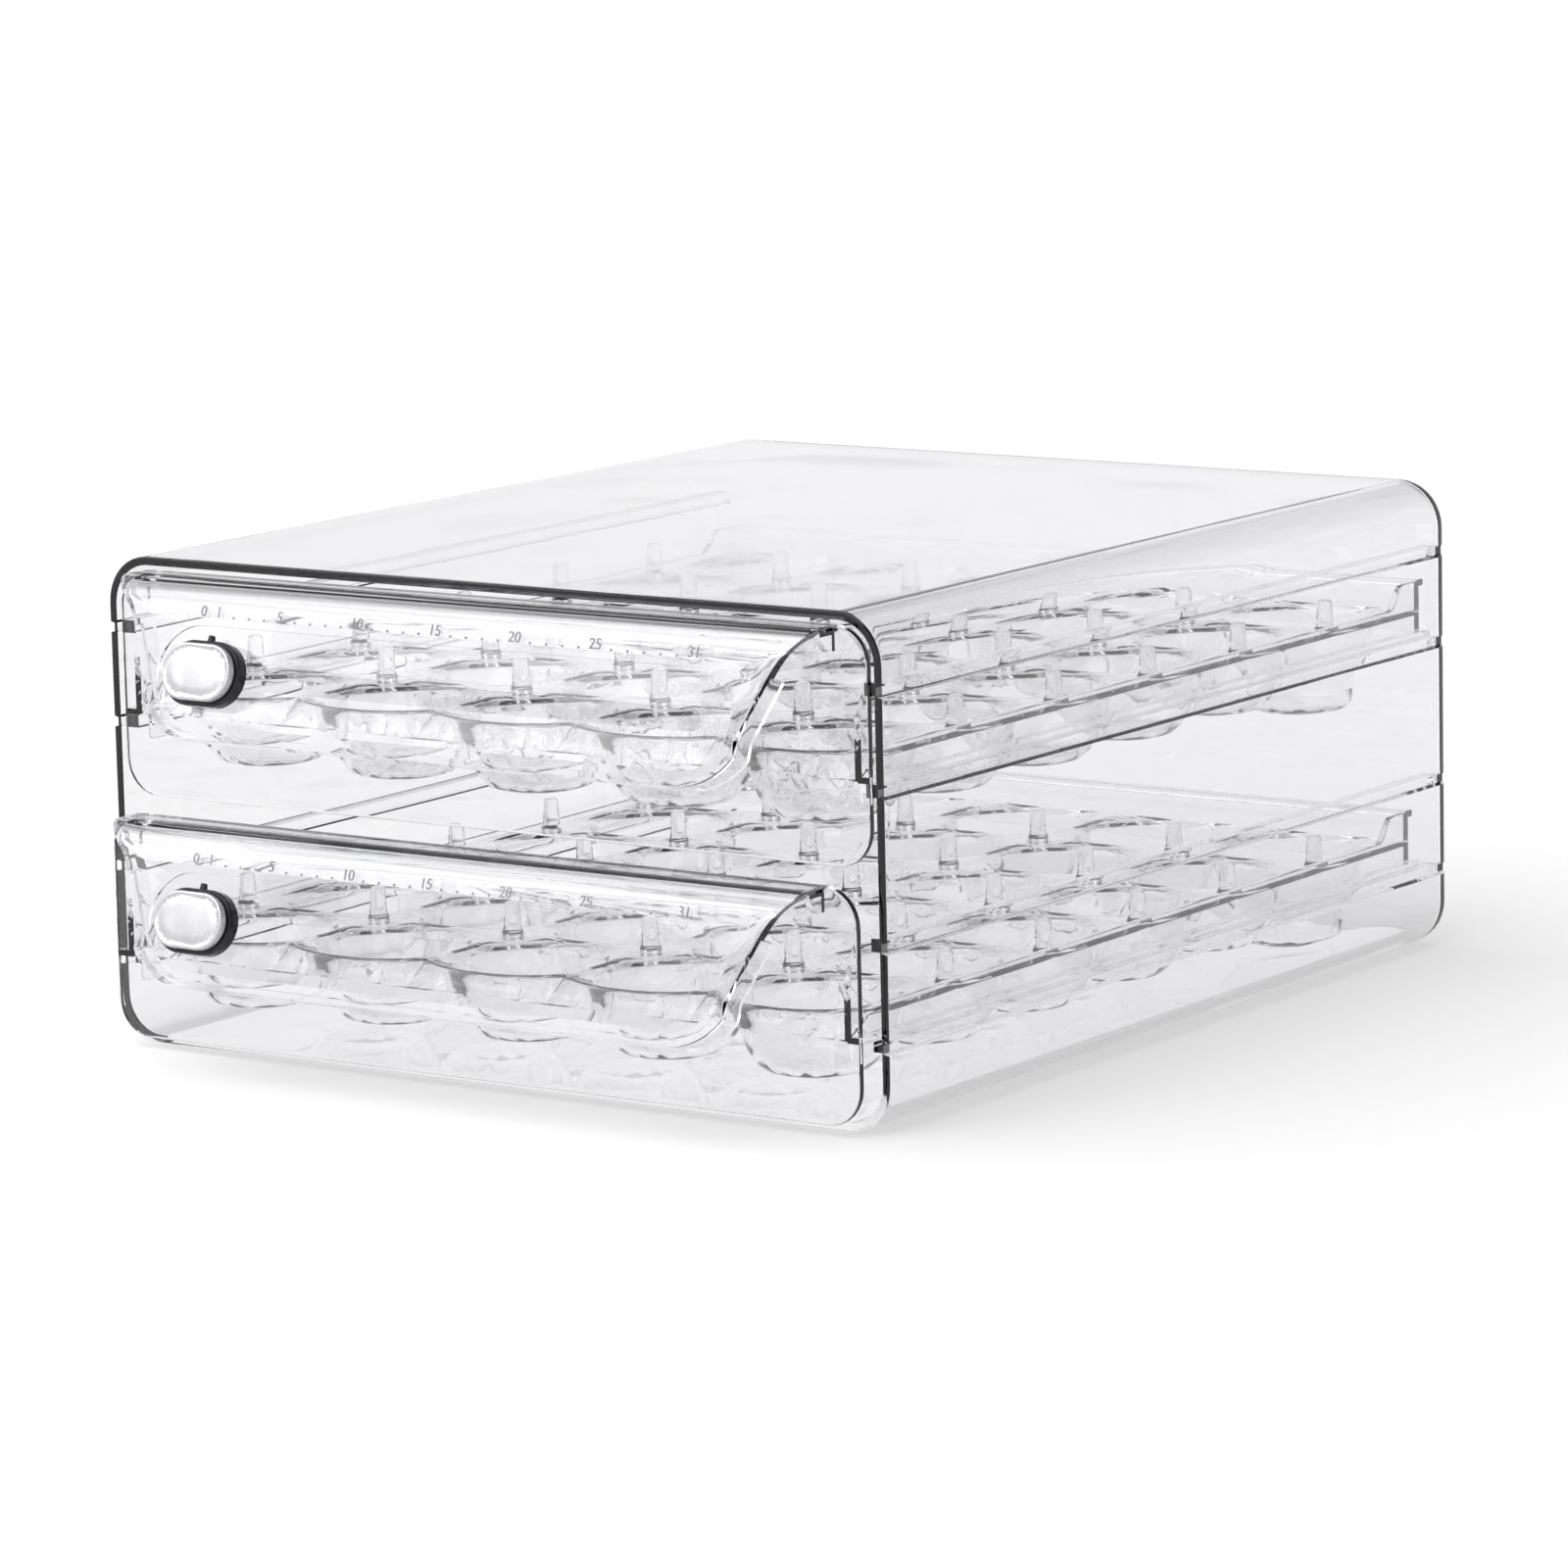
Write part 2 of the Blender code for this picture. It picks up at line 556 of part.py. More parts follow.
def build():
    clear_scene()
    clear_plastic = plastic("clear_plastic", (0.93, 0.94, 0.95), 0.04, clear=True)
    satin_silver = plastic("satin_silver", (0.82, 0.83, 0.84), 0.28, metallic=0.9)
    dark_chrome = plastic("dark_chrome", (0.05, 0.05, 0.055), 0.18, metallic=0.6)
    white_clip = plastic("frosted_plastic", (0.85, 0.86, 0.87), 0.4)

    place("case", case_mesh(), clear_plastic)
    front = front_mesh()
    side_frame = frame_mesh()
    egg_sheet = deck_mesh()
    shoe = shoe_mesh()
    cap = cap_mesh()
    clip = clip_mesh()
    for layer, ajar, level in (("lower", LOWER_DRAWER_AJAR, 0), ("upper", 0, 1)):
        stored = (0, -CASE_DEPTH / 2 - ajar, LOWER_FLANGE_Z + level * LAYER_PITCH)
        slide = pivot(layer + "_drawer_slide", stored)
        place(layer + "_front", front.copy(), clear_plastic, slide)
        place(layer + "_side_frame", side_frame.copy(), clear_plastic, slide)
        place(layer + "_egg_sheet", egg_sheet.copy(), clear_plastic, slide)
        marker = pivot(layer + "_marker_slide", (STORED_X, SLOT_Y, SLOT_Z), slide, -APRON_TILT)
        place(layer + "_marker_shoe", shoe.copy(), dark_chrome, marker)
        place(layer + "_marker_cap", cap.copy(), satin_silver, marker)
        place(layer + "_marker_clip", clip.copy(), white_clip, marker)


build()
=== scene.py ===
"""Looks of the clear two-layer egg drawer box: the case, two egg drawers and their date markers."""

from math import atan2, cos, pi, radians, sin, tan

import bmesh
import bpy
from mathutils import Matrix, Vector


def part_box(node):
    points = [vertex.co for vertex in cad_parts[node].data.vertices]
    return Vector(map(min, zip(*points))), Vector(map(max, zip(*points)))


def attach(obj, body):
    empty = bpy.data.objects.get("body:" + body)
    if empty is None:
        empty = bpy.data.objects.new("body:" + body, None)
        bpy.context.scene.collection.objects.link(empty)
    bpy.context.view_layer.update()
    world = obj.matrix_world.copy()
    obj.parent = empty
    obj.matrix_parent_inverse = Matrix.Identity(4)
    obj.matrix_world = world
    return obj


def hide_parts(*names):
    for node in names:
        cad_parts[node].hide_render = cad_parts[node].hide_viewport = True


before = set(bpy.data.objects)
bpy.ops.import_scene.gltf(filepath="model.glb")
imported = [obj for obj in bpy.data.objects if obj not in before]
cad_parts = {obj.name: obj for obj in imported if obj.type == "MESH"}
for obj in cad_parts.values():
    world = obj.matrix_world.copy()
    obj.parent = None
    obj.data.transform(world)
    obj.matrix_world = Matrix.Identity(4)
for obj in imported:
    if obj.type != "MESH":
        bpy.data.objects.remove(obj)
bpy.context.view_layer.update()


# ---------------------------------------------------------------- case
# The outer sleeve: one clear injection moulding, closed at the back, with a soft front rim.
# Four ledges inside each side wall carry the drawers, and each shows outside as a fine groove.

CASE_LOW, CASE_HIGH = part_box("case")
CASE_WALL = 0.0023
CASE_CORNER = 0.013
BACK_EDGE = 0.0035
INNER_BACK_EDGE = 0.002
RIM_EDGE = 0.0006
RAIL_HEIGHTS = (0.0222, 0.04765, 0.08655, 0.1120)
RAIL_HALF_HEIGHT = 0.0017
RAIL_REACH = 0.0044
RAIL_SETBACK = 0.0032
RAIL_BACK_GAP = 0.003
GROOVE_HALF_HEIGHT = 0.0011
GROOVE_FLARE = 2.0
GROOVE_DEPTH = 0.0016
GROOVE_OUTSIDE = 0.002
CUTTER_OVERRUN = 0.005
NEAR = 1e-5
FACING = 0.9


def block(name, low, high):
    """A box added at its size and place, alone in the selection."""
    bpy.ops.object.select_all(action="DESELECT")
    low, high = Vector(low), Vector(high)
    bpy.ops.mesh.primitive_cube_add(size=1, location=(low + high) / 2, scale=high - low)
    bpy.ops.object.transform_apply(location=True, rotation=True, scale=True)
    bpy.context.object.name = name
    return bpy.context.object


def edit(piece):
    bpy.ops.object.select_all(action="DESELECT")
    bpy.context.view_layer.objects.active = piece
    piece.select_set(True)
    bpy.ops.object.mode_set(mode="EDIT")


def done():
    bpy.ops.object.mode_set(mode="OBJECT")


def pick(kind, wanted):
    """Selects the vertices, edges or faces of the piece in hand for which wanted is true."""
    bpy.ops.mesh.select_mode(type=kind)
    bpy.ops.mesh.select_all(action="DESELECT")
    shape = bmesh.from_edit_mesh(bpy.context.object.data)
    for item in {"VERT": shape.verts, "EDGE": shape.edges, "FACE": shape.faces}[kind]:
        if wanted(item):
            item.select_set(True)
    shape.select_flush_mode()
    bmesh.update_edit_mesh(bpy.context.object.data)


def runs_along(edge, axis):
    way = edge.verts[1].co - edge.verts[0].co
    return abs(way[axis]) > 0.999 * way.length


def slice_at(axis, place):
    """Cuts the whole piece across, without taking anything off."""
    bpy.ops.mesh.select_all(action="SELECT")
    point, normal = Vector(), Vector()
    point[axis], normal[axis] = place, 1
    bpy.ops.mesh.bisect(plane_co=point, plane_no=normal)


def combine(piece, other, operation):
    """Joins the other piece on or cuts with it, leaving triangles that the next cut can take."""
    bpy.ops.object.select_all(action="DESELECT")
    bpy.context.view_layer.objects.active = piece
    piece.select_set(True)
    change = piece.modifiers.new("change", "BOOLEAN")
    change.operation = operation
    change.solver = "EXACT"
    change.object = other
    bpy.ops.object.modifier_apply(modifier=change.name)
    bpy.data.objects.remove(other, do_unlink=True)
    edit(piece)
    bpy.ops.mesh.select_all(action="SELECT")
    bpy.ops.mesh.quads_convert_to_tris()
    done()


def smooth(piece, angle=35):
    """Soft shading over the curves, with the wide flat faces kept flat."""
    bpy.ops.object.select_all(action="DESELECT")
    bpy.context.view_layer.objects.active = piece
    piece.select_set(True)
    bpy.ops.object.shade_smooth_by_angle(angle=radians(angle))
    even = piece.modifiers.new("even", "WEIGHTED_NORMAL")
    even.keep_sharp = True
    bpy.ops.object.modifier_apply(modifier=even.name)


case = block("case_shell", CASE_LOW, CASE_HIGH)
edit(case)
pick("EDGE", lambda edge: runs_along(edge, 1))
bpy.ops.mesh.bevel(offset=CASE_CORNER, segments=9, affect="EDGES")
pick("EDGE", lambda edge: all(corner.co.y > CASE_HIGH.y - NEAR for corner in edge.verts))
bpy.ops.mesh.bevel(offset=BACK_EDGE, segments=5, affect="EDGES")
pick("FACE", lambda face: face.normal.y < -FACING)
bpy.ops.mesh.inset(thickness=CASE_WALL)
bpy.ops.mesh.extrude_region_move(
    TRANSFORM_OT_translate={"value": (0, CASE_HIGH.y - CASE_LOW.y - CASE_WALL, 0)}
)
inner_back = CASE_HIGH.y - CASE_WALL
pick("EDGE", lambda edge: all(abs(corner.co.y - inner_back) < NEAR for corner in edge.verts))
bpy.ops.mesh.bevel(offset=INNER_BACK_EDGE, segments=4, affect="EDGES")
pick(
    "EDGE",
    lambda edge: all(corner.co.y < CASE_LOW.y + NEAR for corner in edge.verts)
    and any(face.normal.y > -FACING for face in edge.link_faces),
)
bpy.ops.mesh.bevel(offset=RIM_EDGE, segments=3, affect="EDGES")
inner_x = CASE_HIGH.x - CASE_WALL
rail_front = CASE_LOW.y + RAIL_SETBACK
rail_back = inner_back - RAIL_BACK_GAP
for height in RAIL_HEIGHTS:
    slice_at(2, height - RAIL_HALF_HEIGHT)
    slice_at(2, height + RAIL_HALF_HEIGHT)
slice_at(1, rail_front)
slice_at(1, rail_back)
for side in (-1, 1):
    pick(
        "FACE",
        lambda face: abs(face.calc_center_median().x - side * inner_x) < NEAR
        and rail_front < face.calc_center_median().y < rail_back
        and any(
            abs(face.calc_center_median().z - height) < RAIL_HALF_HEIGHT for height in RAIL_HEIGHTS
        ),
    )
    bpy.ops.mesh.extrude_region_move(TRANSFORM_OT_translate={"value": (-side * RAIL_REACH, 0, 0)})
bpy.ops.mesh.select_all(action="SELECT")
bpy.ops.mesh.quads_convert_to_tris()
done()
for side in (-1, 1):
    for height in RAIL_HEIGHTS:
        ends = sorted((side * (CASE_HIGH.x - GROOVE_DEPTH), side * (CASE_HIGH.x + GROOVE_OUTSIDE)))
        low = (ends[0], CASE_LOW.y - CUTTER_OVERRUN, height - GROOVE_HALF_HEIGHT)
        high = (ends[1], CASE_HIGH.y + CUTTER_OVERRUN, height + GROOVE_HALF_HEIGHT)
        cutter = block("groove_cutter", low, high)
        edit(cutter)
        pick("FACE", lambda face: side * face.normal.x > FACING)
        bpy.ops.transform.resize(value=(1, 1, GROOVE_FLARE), center_override=(0, 0, height))
        done()
        combine(case, cutter, "DIFFERENCE")
smooth(case)


CASE_TINT = (0.92, 0.92, 0.926)
PLASTIC_IOR = 1.5
DEPTH_TINT = (0.86, 0.86, 0.88)
DEPTH_DENSITY = 30.0
WAVE_HEIGHT = 0.001


def clear_plastic(name, tint, roughness, waviness, cloud):
    """Clear moulded plastic: near colourless, with a faint flow in its gloss and a grey depth."""
    material = bpy.data.materials.new(name)
    material.use_nodes = True
    nodes, links = material.node_tree.nodes, material.node_tree.links
    shader = nodes["Principled BSDF"]
    shader.inputs["Transmission Weight"].default_value = 1.0
    shader.inputs["IOR"].default_value = PLASTIC_IOR
    place = nodes.new("ShaderNodeTexCoord")

    def cloudiness(scale, detail, low, high):
        noise = nodes.new("ShaderNodeTexNoise")
        noise.inputs["Scale"].default_value = scale
        noise.inputs["Detail"].default_value = detail
        links.new(place.outputs["Object"], noise.inputs["Vector"])
        ramp = nodes.new("ShaderNodeValToRGB")
        ramp.color_ramp.elements[0].position = 0.35
        ramp.color_ramp.elements[0].color = (*low, 1)
        ramp.color_ramp.elements[1].position = 0.65
        ramp.color_ramp.elements[1].color = (*high, 1)
        links.new(noise.outputs["Fac"], ramp.inputs["Fac"])
        return noise, ramp

    dim = tuple(share * (1 - cloud) for share in tint)
    _, colour = cloudiness(scale=9, detail=2, low=dim, high=tint)
    links.new(colour.outputs["Color"], shader.inputs["Base Color"])
    _, gloss = cloudiness(
        scale=40, detail=3, low=(roughness * 0.6,) * 3, high=(roughness * 1.4,) * 3
    )
    links.new(gloss.outputs["Color"], shader.inputs["Roughness"])
    flow, _ = cloudiness(scale=14, detail=1, low=(0, 0, 0), high=(1, 1, 1))
    bump = nodes.new("ShaderNodeBump")
    bump.inputs["Strength"].default_value = waviness
    bump.inputs["Distance"].default_value = WAVE_HEIGHT
    links.new(flow.outputs["Fac"], bump.inputs["Height"])
    links.new(bump.outputs["Normal"], shader.inputs["Normal"])
    depth = nodes.new("ShaderNodeVolumeAbsorption")
    depth.inputs["Color"].default_value = (*DEPTH_TINT, 1)
    depth.inputs["Density"].default_value = DEPTH_DENSITY
    links.new(depth.outputs["Volume"], nodes["Material Output"].inputs["Volume"])
    return material


case_plastic = clear_plastic(
    "clear_case_plastic", CASE_TINT, roughness=0.010, waviness=0.12, cloud=0.01
)
case.data.materials.append(case_plastic)
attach(case, "case")
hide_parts("case")


# ---------------------------------------------------------------- egg sheet
# The sheet of thirty round egg cups in each drawer, five across and six deep, moulded in one with
# it from clear plastic. A low ridge runs between neighbours, with a post where four cups meet.
# The rear row is deeper, and the front border turns down behind the panel.

STOREY = 0.06435
AJAR = 0.007
FLANGE_Z = 0.08855
FRONT_Y = CASE_LOW.y
CUP_COLUMNS = 5
CUP_ROWS = 6
PITCH_X = 0.0451
PITCH_Y = 0.0457
FIRST_X = -2 * PITCH_X
FIRST_Y = FRONT_Y + 0.025
CUP_SIDES = 32
HEADING_STEP = pi / 16
SHOULDER_START = 1.02
BORDER_START = 1.2
SHEET = 0.0016
SADDLE = 0.0070
POST_TOP = 0.0155
POST_RADIUS = 0.0025
POST_TAPER = 0.8
POST_ROUND = 0.0009
POST_FOOT_RISE = 0.0016
POST_FOOT_SPREAD = 1.35
# Radius and height of each ring of a cup, from its floor to its mouth
CUP_RINGS = (
    (0.0060, -0.0120),
    (0.0105, -0.0119),
    (0.0128, -0.0112),
    (0.0146, -0.0095),
    (0.0162, -0.0068),
    (0.0174, -0.0036),
    (0.0184, 0.0004),
    (0.0192, 0.0036),
    (0.0198, 0.0052),
    (0.0208, 0.0062),
)
REAR_CUP_RINGS = (
    (0.0060, -0.0183),
    (0.0105, -0.0183),
    (0.0126, -0.0178),
    (0.0136, -0.0166),
    (0.0139, -0.0140),
    (0.0143, -0.0095),
    (0.0158, -0.0060),
    (0.0178, -0.0010),
    (0.0191, 0.0036),
    (0.0198, 0.0052),
    (0.0208, 0.0062),
)
# Reach from the cup's middle, against half its pitch, and height of the ring outside the mouth
SHOULDER = ((0.965, 0.0067), (0.98, 0.0067), (1.02, 0.0068), (1.07, 0.0069), (1.12, 0.0070))
BORDER = (SADDLE, 0.0070, 0.0070, 0.0071, 0.0073)


def compass(point, middle):
    """Which of five headings a point has from a cup's middle: 0 across to 4 diagonal."""
    turn = abs(atan2(point.y - middle.y, point.x - middle.x)) % (pi / 2)
    return round(min(turn, pi / 2 - turn) / HEADING_STEP)


def cup_cell(name, rings, middle):
    """One cup, grown outwards from its floor ring by ring to the square border of its cell."""
    bpy.ops.object.select_all(action="DESELECT")
    radius, height = rings[0]
    bpy.ops.mesh.primitive_circle_add(
        vertices=CUP_SIDES,
        radius=radius,
        fill_type="NGON",
        location=(middle.x, middle.y, FLANGE_Z + height),
    )
    bpy.ops.object.transform_apply(location=True, rotation=True, scale=True)
    cell = bpy.context.object
    cell.name = name
    edit(cell)
    last_radius, last_height = radius, height
    half = PITCH_X / 2
    shoulder_radius = half * SHOULDER_START
    border_radius = half * BORDER_START
    outside = rings[1:] + ((shoulder_radius, SADDLE), (border_radius, SADDLE))
    centre = (middle.x, middle.y, 0)
    for ring_radius, ring_height in outside:
        pick("EDGE", lambda edge: edge.is_boundary)
        bpy.ops.mesh.extrude_edges_move(
            TRANSFORM_OT_translate={"value": (0, 0, ring_height - last_height)}
        )
        grow = ring_radius / last_radius
        bpy.ops.transform.resize(value=(grow, grow, 1), center_override=centre)
        last_radius, last_height = ring_radius, ring_height
    for heading in range(5):
        for ring_radius, (reach, level) in (
            (shoulder_radius, SHOULDER[heading]),
            (border_radius, (1 / cos(HEADING_STEP * heading), BORDER[heading])),
        ):
            pick(
                "VERT",
                lambda corner: abs((corner.co.xy - middle).length - ring_radius) < NEAR
                and abs(corner.co.z - FLANGE_Z - SADDLE) < NEAR
                and compass(corner.co, middle) == heading,
            )
            grow = half * reach / ring_radius
            bpy.ops.transform.resize(value=(grow, grow, 1), center_override=centre)
            bpy.ops.transform.translate(value=(0, 0, level - SADDLE))
    pick("EDGE", lambda edge: edge.is_boundary)
    bpy.ops.transform.resize(value=(1, PITCH_Y / PITCH_X, 1), center_override=centre)
    done()
    return cell


def repeat(piece, count, step):
    """Copies the piece along a line, keeping all the copies in the one mesh."""
    bpy.ops.object.select_all(action="DESELECT")
    bpy.context.view_layer.objects.active = piece
    piece.select_set(True)
    row = piece.modifiers.new("row", "ARRAY")
    row.count = count
    row.use_relative_offset = False
    row.use_constant_offset = True
    row.constant_offset_displace = step
    bpy.ops.object.modifier_apply(modifier=row.name)


def join(pieces):
    bpy.ops.object.select_all(action="DESELECT")
    for piece in pieces:
        piece.select_set(True)
    bpy.context.view_layer.objects.active = pieces[0]
    bpy.ops.object.join()
    return pieces[0]


sheet = cup_cell("egg_sheet", CUP_RINGS, Vector((FIRST_X, FIRST_Y)))
repeat(sheet, CUP_COLUMNS, (PITCH_X, 0, 0))
repeat(sheet, CUP_ROWS - 1, (0, PITCH_Y, 0))
rear_y = FIRST_Y + PITCH_Y * (CUP_ROWS - 1)
rear_row = cup_cell("rear_cups", REAR_CUP_RINGS, Vector((FIRST_X, rear_y)))
repeat(rear_row, CUP_COLUMNS, (PITCH_X, 0, 0))
sheet = join([sheet, rear_row])
WALL_MIDDLE_X = 0.1159
MOUTH_EASE = 0.007
SKIRT_Y = 0.0019
SKIRT_Z = 0.0008
THIN_WALL = 0.35
THIN_UP_TO = 0.004
FULL_FROM = 0.010
REAR_WALL_MIDDLE = FRONT_Y + 0.2748
sheet_side = PITCH_X * CUP_COLUMNS / 2
sheet_front = FIRST_Y - PITCH_Y / 2
sheet_rear = rear_y + PITCH_Y / 2
edit(sheet)
bpy.ops.mesh.select_all(action="SELECT")
bpy.ops.mesh.remove_doubles(threshold=NEAR)
for limit, shift in (
    (sheet_front, (0, FRONT_Y + SKIRT_Y - sheet_front, SKIRT_Z - SADDLE)),
    (sheet_rear, (0, 0, 0)),
):
    pick("VERT", lambda corner: abs(corner.co.y - limit) < 2 * NEAR)
    bpy.ops.transform.resize(value=(1, 1, 0), center_override=(0, 0, FLANGE_Z + SADDLE))
    bpy.ops.transform.translate(value=shift)
hold = sheet_rear - MOUTH_EASE
grow = (REAR_WALL_MIDDLE - hold) / MOUTH_EASE
pick("VERT", lambda corner: corner.co.y > hold)
bpy.ops.transform.resize(value=(1, grow, 1), center_override=(0, hold, 0))
for side in (-1, 1):
    pick(
        "EDGE",
        lambda edge: all(side * corner.co.x > sheet_side - 2 * NEAR for corner in edge.verts),
    )
    bpy.ops.mesh.extrude_edges_move(
        TRANSFORM_OT_translate={"value": (side * (WALL_MIDDLE_X - sheet_side), 0, 0)}
    )
    pick(
        "VERT",
        lambda corner: side * corner.co.x > WALL_MIDDLE_X - NEAR
        and corner.co.z > FLANGE_Z + SADDLE / 2,
    )
    bpy.ops.transform.resize(value=(1, 1, 0), center_override=(0, 0, FLANGE_Z + SADDLE))
bpy.ops.mesh.select_all(action="SELECT")
bpy.ops.mesh.normals_make_consistent(inside=False)
done()
if sum(face.normal.z * face.area for face in sheet.data.polygons) < 0:
    sheet.data.flip_normals()
bpy.ops.object.select_all(action="DESELECT")
sheet.select_set(True)
bpy.context.view_layer.objects.active = sheet
walls = sheet.vertex_groups.new(name="wall_thickness")
for corner in sheet.data.vertices:
    share = min(1, max(0, (corner.co.y - FRONT_Y - THIN_UP_TO) / (FULL_FROM - THIN_UP_TO)))
    walls.add([corner.index], THIN_WALL + (1 - THIN_WALL) * share, "REPLACE")
wall = sheet.modifiers.new("wall", "SOLIDIFY")
wall.thickness = SHEET
wall.offset = -1
wall.vertex_group = walls.name
bpy.ops.object.modifier_apply(modifier=wall.name)
edit(sheet)
bpy.ops.mesh.select_all(action="SELECT")
bpy.ops.mesh.quads_convert_to_tris()
done()

bpy.ops.object.select_all(action="DESELECT")
post_foot = SADDLE - SHEET / 2
bpy.ops.mesh.primitive_cone_add(
    vertices=20,
    radius1=POST_RADIUS,
    radius2=POST_RADIUS * POST_TAPER,
    depth=POST_TOP - post_foot,
    location=(FIRST_X - PITCH_X / 2, FIRST_Y + PITCH_Y / 2, FLANGE_Z + (POST_TOP + post_foot) / 2),
)
bpy.ops.object.transform_apply(location=True, rotation=True, scale=True)
post = bpy.context.object
edit(post)
pick("EDGE", lambda edge: all(corner.co.z > FLANGE_Z + POST_TOP - NEAR for corner in edge.verts))
bpy.ops.mesh.bevel(offset=POST_ROUND, segments=3, affect="EDGES")
slice_at(2, FLANGE_Z + SADDLE + POST_FOOT_RISE)
pick("VERT", lambda corner: corner.co.z < FLANGE_Z + SADDLE)
bpy.ops.transform.resize(
    value=(POST_FOOT_SPREAD, POST_FOOT_SPREAD, 1),
    center_override=(FIRST_X - PITCH_X / 2, FIRST_Y + PITCH_Y / 2, 0),
)
done()
repeat(post, CUP_COLUMNS + 1, (PITCH_X, 0, 0))
repeat(post, CUP_ROWS - 1, (0, PITCH_Y, 0))
combine(sheet, post, "UNION")


# ---------------------------------------------------------------- drawers
# Each drawer is one clear moulding: front panel, handle apron bent down from its top edge, low
# side walls with flanges that run on the case's ledges, rear wall with a lip, and the egg sheet.

PANEL_HALF_WIDTH = 0.1200
PANEL_TOP = FLANGE_Z + 0.03945
PANEL_FOOT = FLANGE_Z - 0.0213
PANEL_THICKNESS = 0.002
PANEL_CORNER = 0.010
PANEL_EDGE = 0.0005
WELD = 0.001
SIDE_OUT = 0.1169
SIDE_IN = 0.1149
SIDE_BACK_GAP = 0.0007
SIDE_TOP = 0.0084
TONGUE_TOP = 0.02145
TONGUE_RUN = 0.0135
REAR_OUT = FRONT_Y + 0.2758
REAR_IN = FRONT_Y + 0.2738
REAR_TOP = 0.0150
APRON_THICKNESS = 0.0026
APRON_TILT = radians(18.3)
APRON_FOOT_Y = FRONT_Y - 0.0254
APRON_FOOT_Z = FLANGE_Z + 0.00045
APRON_BEND = 0.008
APRON_HALF_FOOT = 0.0896
APRON_HALF_TOP = 0.1112
APRON_FLANK = radians(65.8)
APRON_FOOT_CORNER = 0.010
APRON_LEVELS = (0.012, 0.018, 0.023, 0.027, 0.030, 0.0325)
FLARE_DROP = 0.011
FLARE_REACH = 0.0045
BEAD_WIDTH = 0.0046
BEAD_HEIGHT = 0.0008
RETURN_WALL = 0.0016
RETURN_DEPTH = 0.0050
RETURN_TOP = PANEL_TOP - 0.0115
SAME_LEVEL = 2e-6
SLOPE_FACING = 0.99
FRONT_FACING = 0.995

panel = block(
    "drawer",
    (-PANEL_HALF_WIDTH, FRONT_Y, PANEL_FOOT),
    (PANEL_HALF_WIDTH, FRONT_Y + PANEL_THICKNESS, PANEL_TOP),
)
edit(panel)
pick("EDGE", lambda edge: runs_along(edge, 1))
bpy.ops.mesh.bevel(offset=PANEL_CORNER, segments=8, affect="EDGES")
pick(
    "EDGE",
    lambda edge: not runs_along(edge, 1)
    and any(abs(face.normal.y) > FACING for face in edge.link_faces),
)
bpy.ops.mesh.bevel(offset=PANEL_EDGE, segments=2, affect="EDGES")
bpy.ops.mesh.select_all(action="SELECT")
bpy.ops.mesh.quads_convert_to_tris()
done()

slope = Vector((0, -sin(APRON_TILT), -cos(APRON_TILT)))
bend_turn = pi / 2 - APRON_TILT
bend_run = APRON_BEND * tan(bend_turn / 2)
bend_corner_y = APRON_FOOT_Y + (PANEL_TOP - APRON_FOOT_Z) * tan(APRON_TILT)
bend_start_y = bend_corner_y + bend_run
apron = block(
    "apron",
    (-APRON_HALF_TOP, bend_start_y, PANEL_TOP - APRON_THICKNESS),
    (APRON_HALF_TOP, FRONT_Y + PANEL_THICKNESS / 2, PANEL_TOP),
)
edit(apron)
pick("FACE", lambda face: face.normal.y < -FACING)
bpy.ops.mesh.spin(
    steps=7,
    angle=-bend_turn,
    center=(0, bend_start_y, PANEL_TOP - APRON_BEND),
    axis=(1, 0, 0),
    dupli=False,
)
slope_length = (PANEL_TOP - APRON_FOOT_Z) / cos(APRON_TILT) - bend_run
pick(
    "FACE",
    lambda face: face.normal.dot(slope) > SLOPE_FACING
    and face.calc_center_median().z < PANEL_TOP - APRON_BEND / 2,
)
bpy.ops.mesh.extrude_region_move(TRANSFORM_OT_translate={"value": slope * slope_length})
pick("FACE", lambda face: face.normal.dot(slope) > SLOPE_FACING)
grow = APRON_HALF_FOOT / APRON_HALF_TOP
bpy.ops.transform.resize(value=(grow, 1, 1), center_override=(0, 0, 0))
pick(
    "EDGE",
    lambda edge: not runs_along(edge, 0)
    and all(abs(abs(corner.co.x) - APRON_HALF_FOOT) < NEAR for corner in edge.verts),
)
bpy.ops.mesh.bevel(offset=APRON_FOOT_CORNER, segments=8, affect="EDGES")
for height in APRON_LEVELS:
    slice_at(2, FLANGE_Z + height)
levels = sorted({round(corner.co.z, 6) for corner in bmesh.from_edit_mesh(apron.data).verts})


def apron_half_width(height):
    """The flanks rise straight and flare out near the top."""
    straight = APRON_HALF_FOOT + (height - APRON_FOOT_Z) / tan(APRON_FLANK)
    flare = max(0.0, (height - (PANEL_TOP - FLARE_DROP)) / FLARE_DROP)
    return straight + FLARE_REACH * flare * flare


for level in levels:
    if level < FLANGE_Z + APRON_LEVELS[0] - NEAR:
        continue
    ring = [c for c in bmesh.from_edit_mesh(apron.data).verts if abs(c.co.z - level) < SAME_LEVEL]
    now = max(abs(corner.co.x) for corner in ring)
    pick("VERT", lambda corner: abs(corner.co.z - level) < SAME_LEVEL)
    grow = apron_half_width(level) / now
    bpy.ops.transform.resize(value=(grow, 1, 1), center_override=(0, 0, 0))
outward = Vector((0, -cos(APRON_TILT), sin(APRON_TILT)))
pick("FACE", lambda face: face.normal.dot(outward) > FRONT_FACING)
bpy.ops.mesh.inset(thickness=BEAD_WIDTH)
bpy.ops.transform.translate(value=-outward * BEAD_HEIGHT)
pick("FACE", lambda face: face.normal.dot(outward) < -FRONT_FACING)
bpy.ops.mesh.inset(thickness=RETURN_WALL)
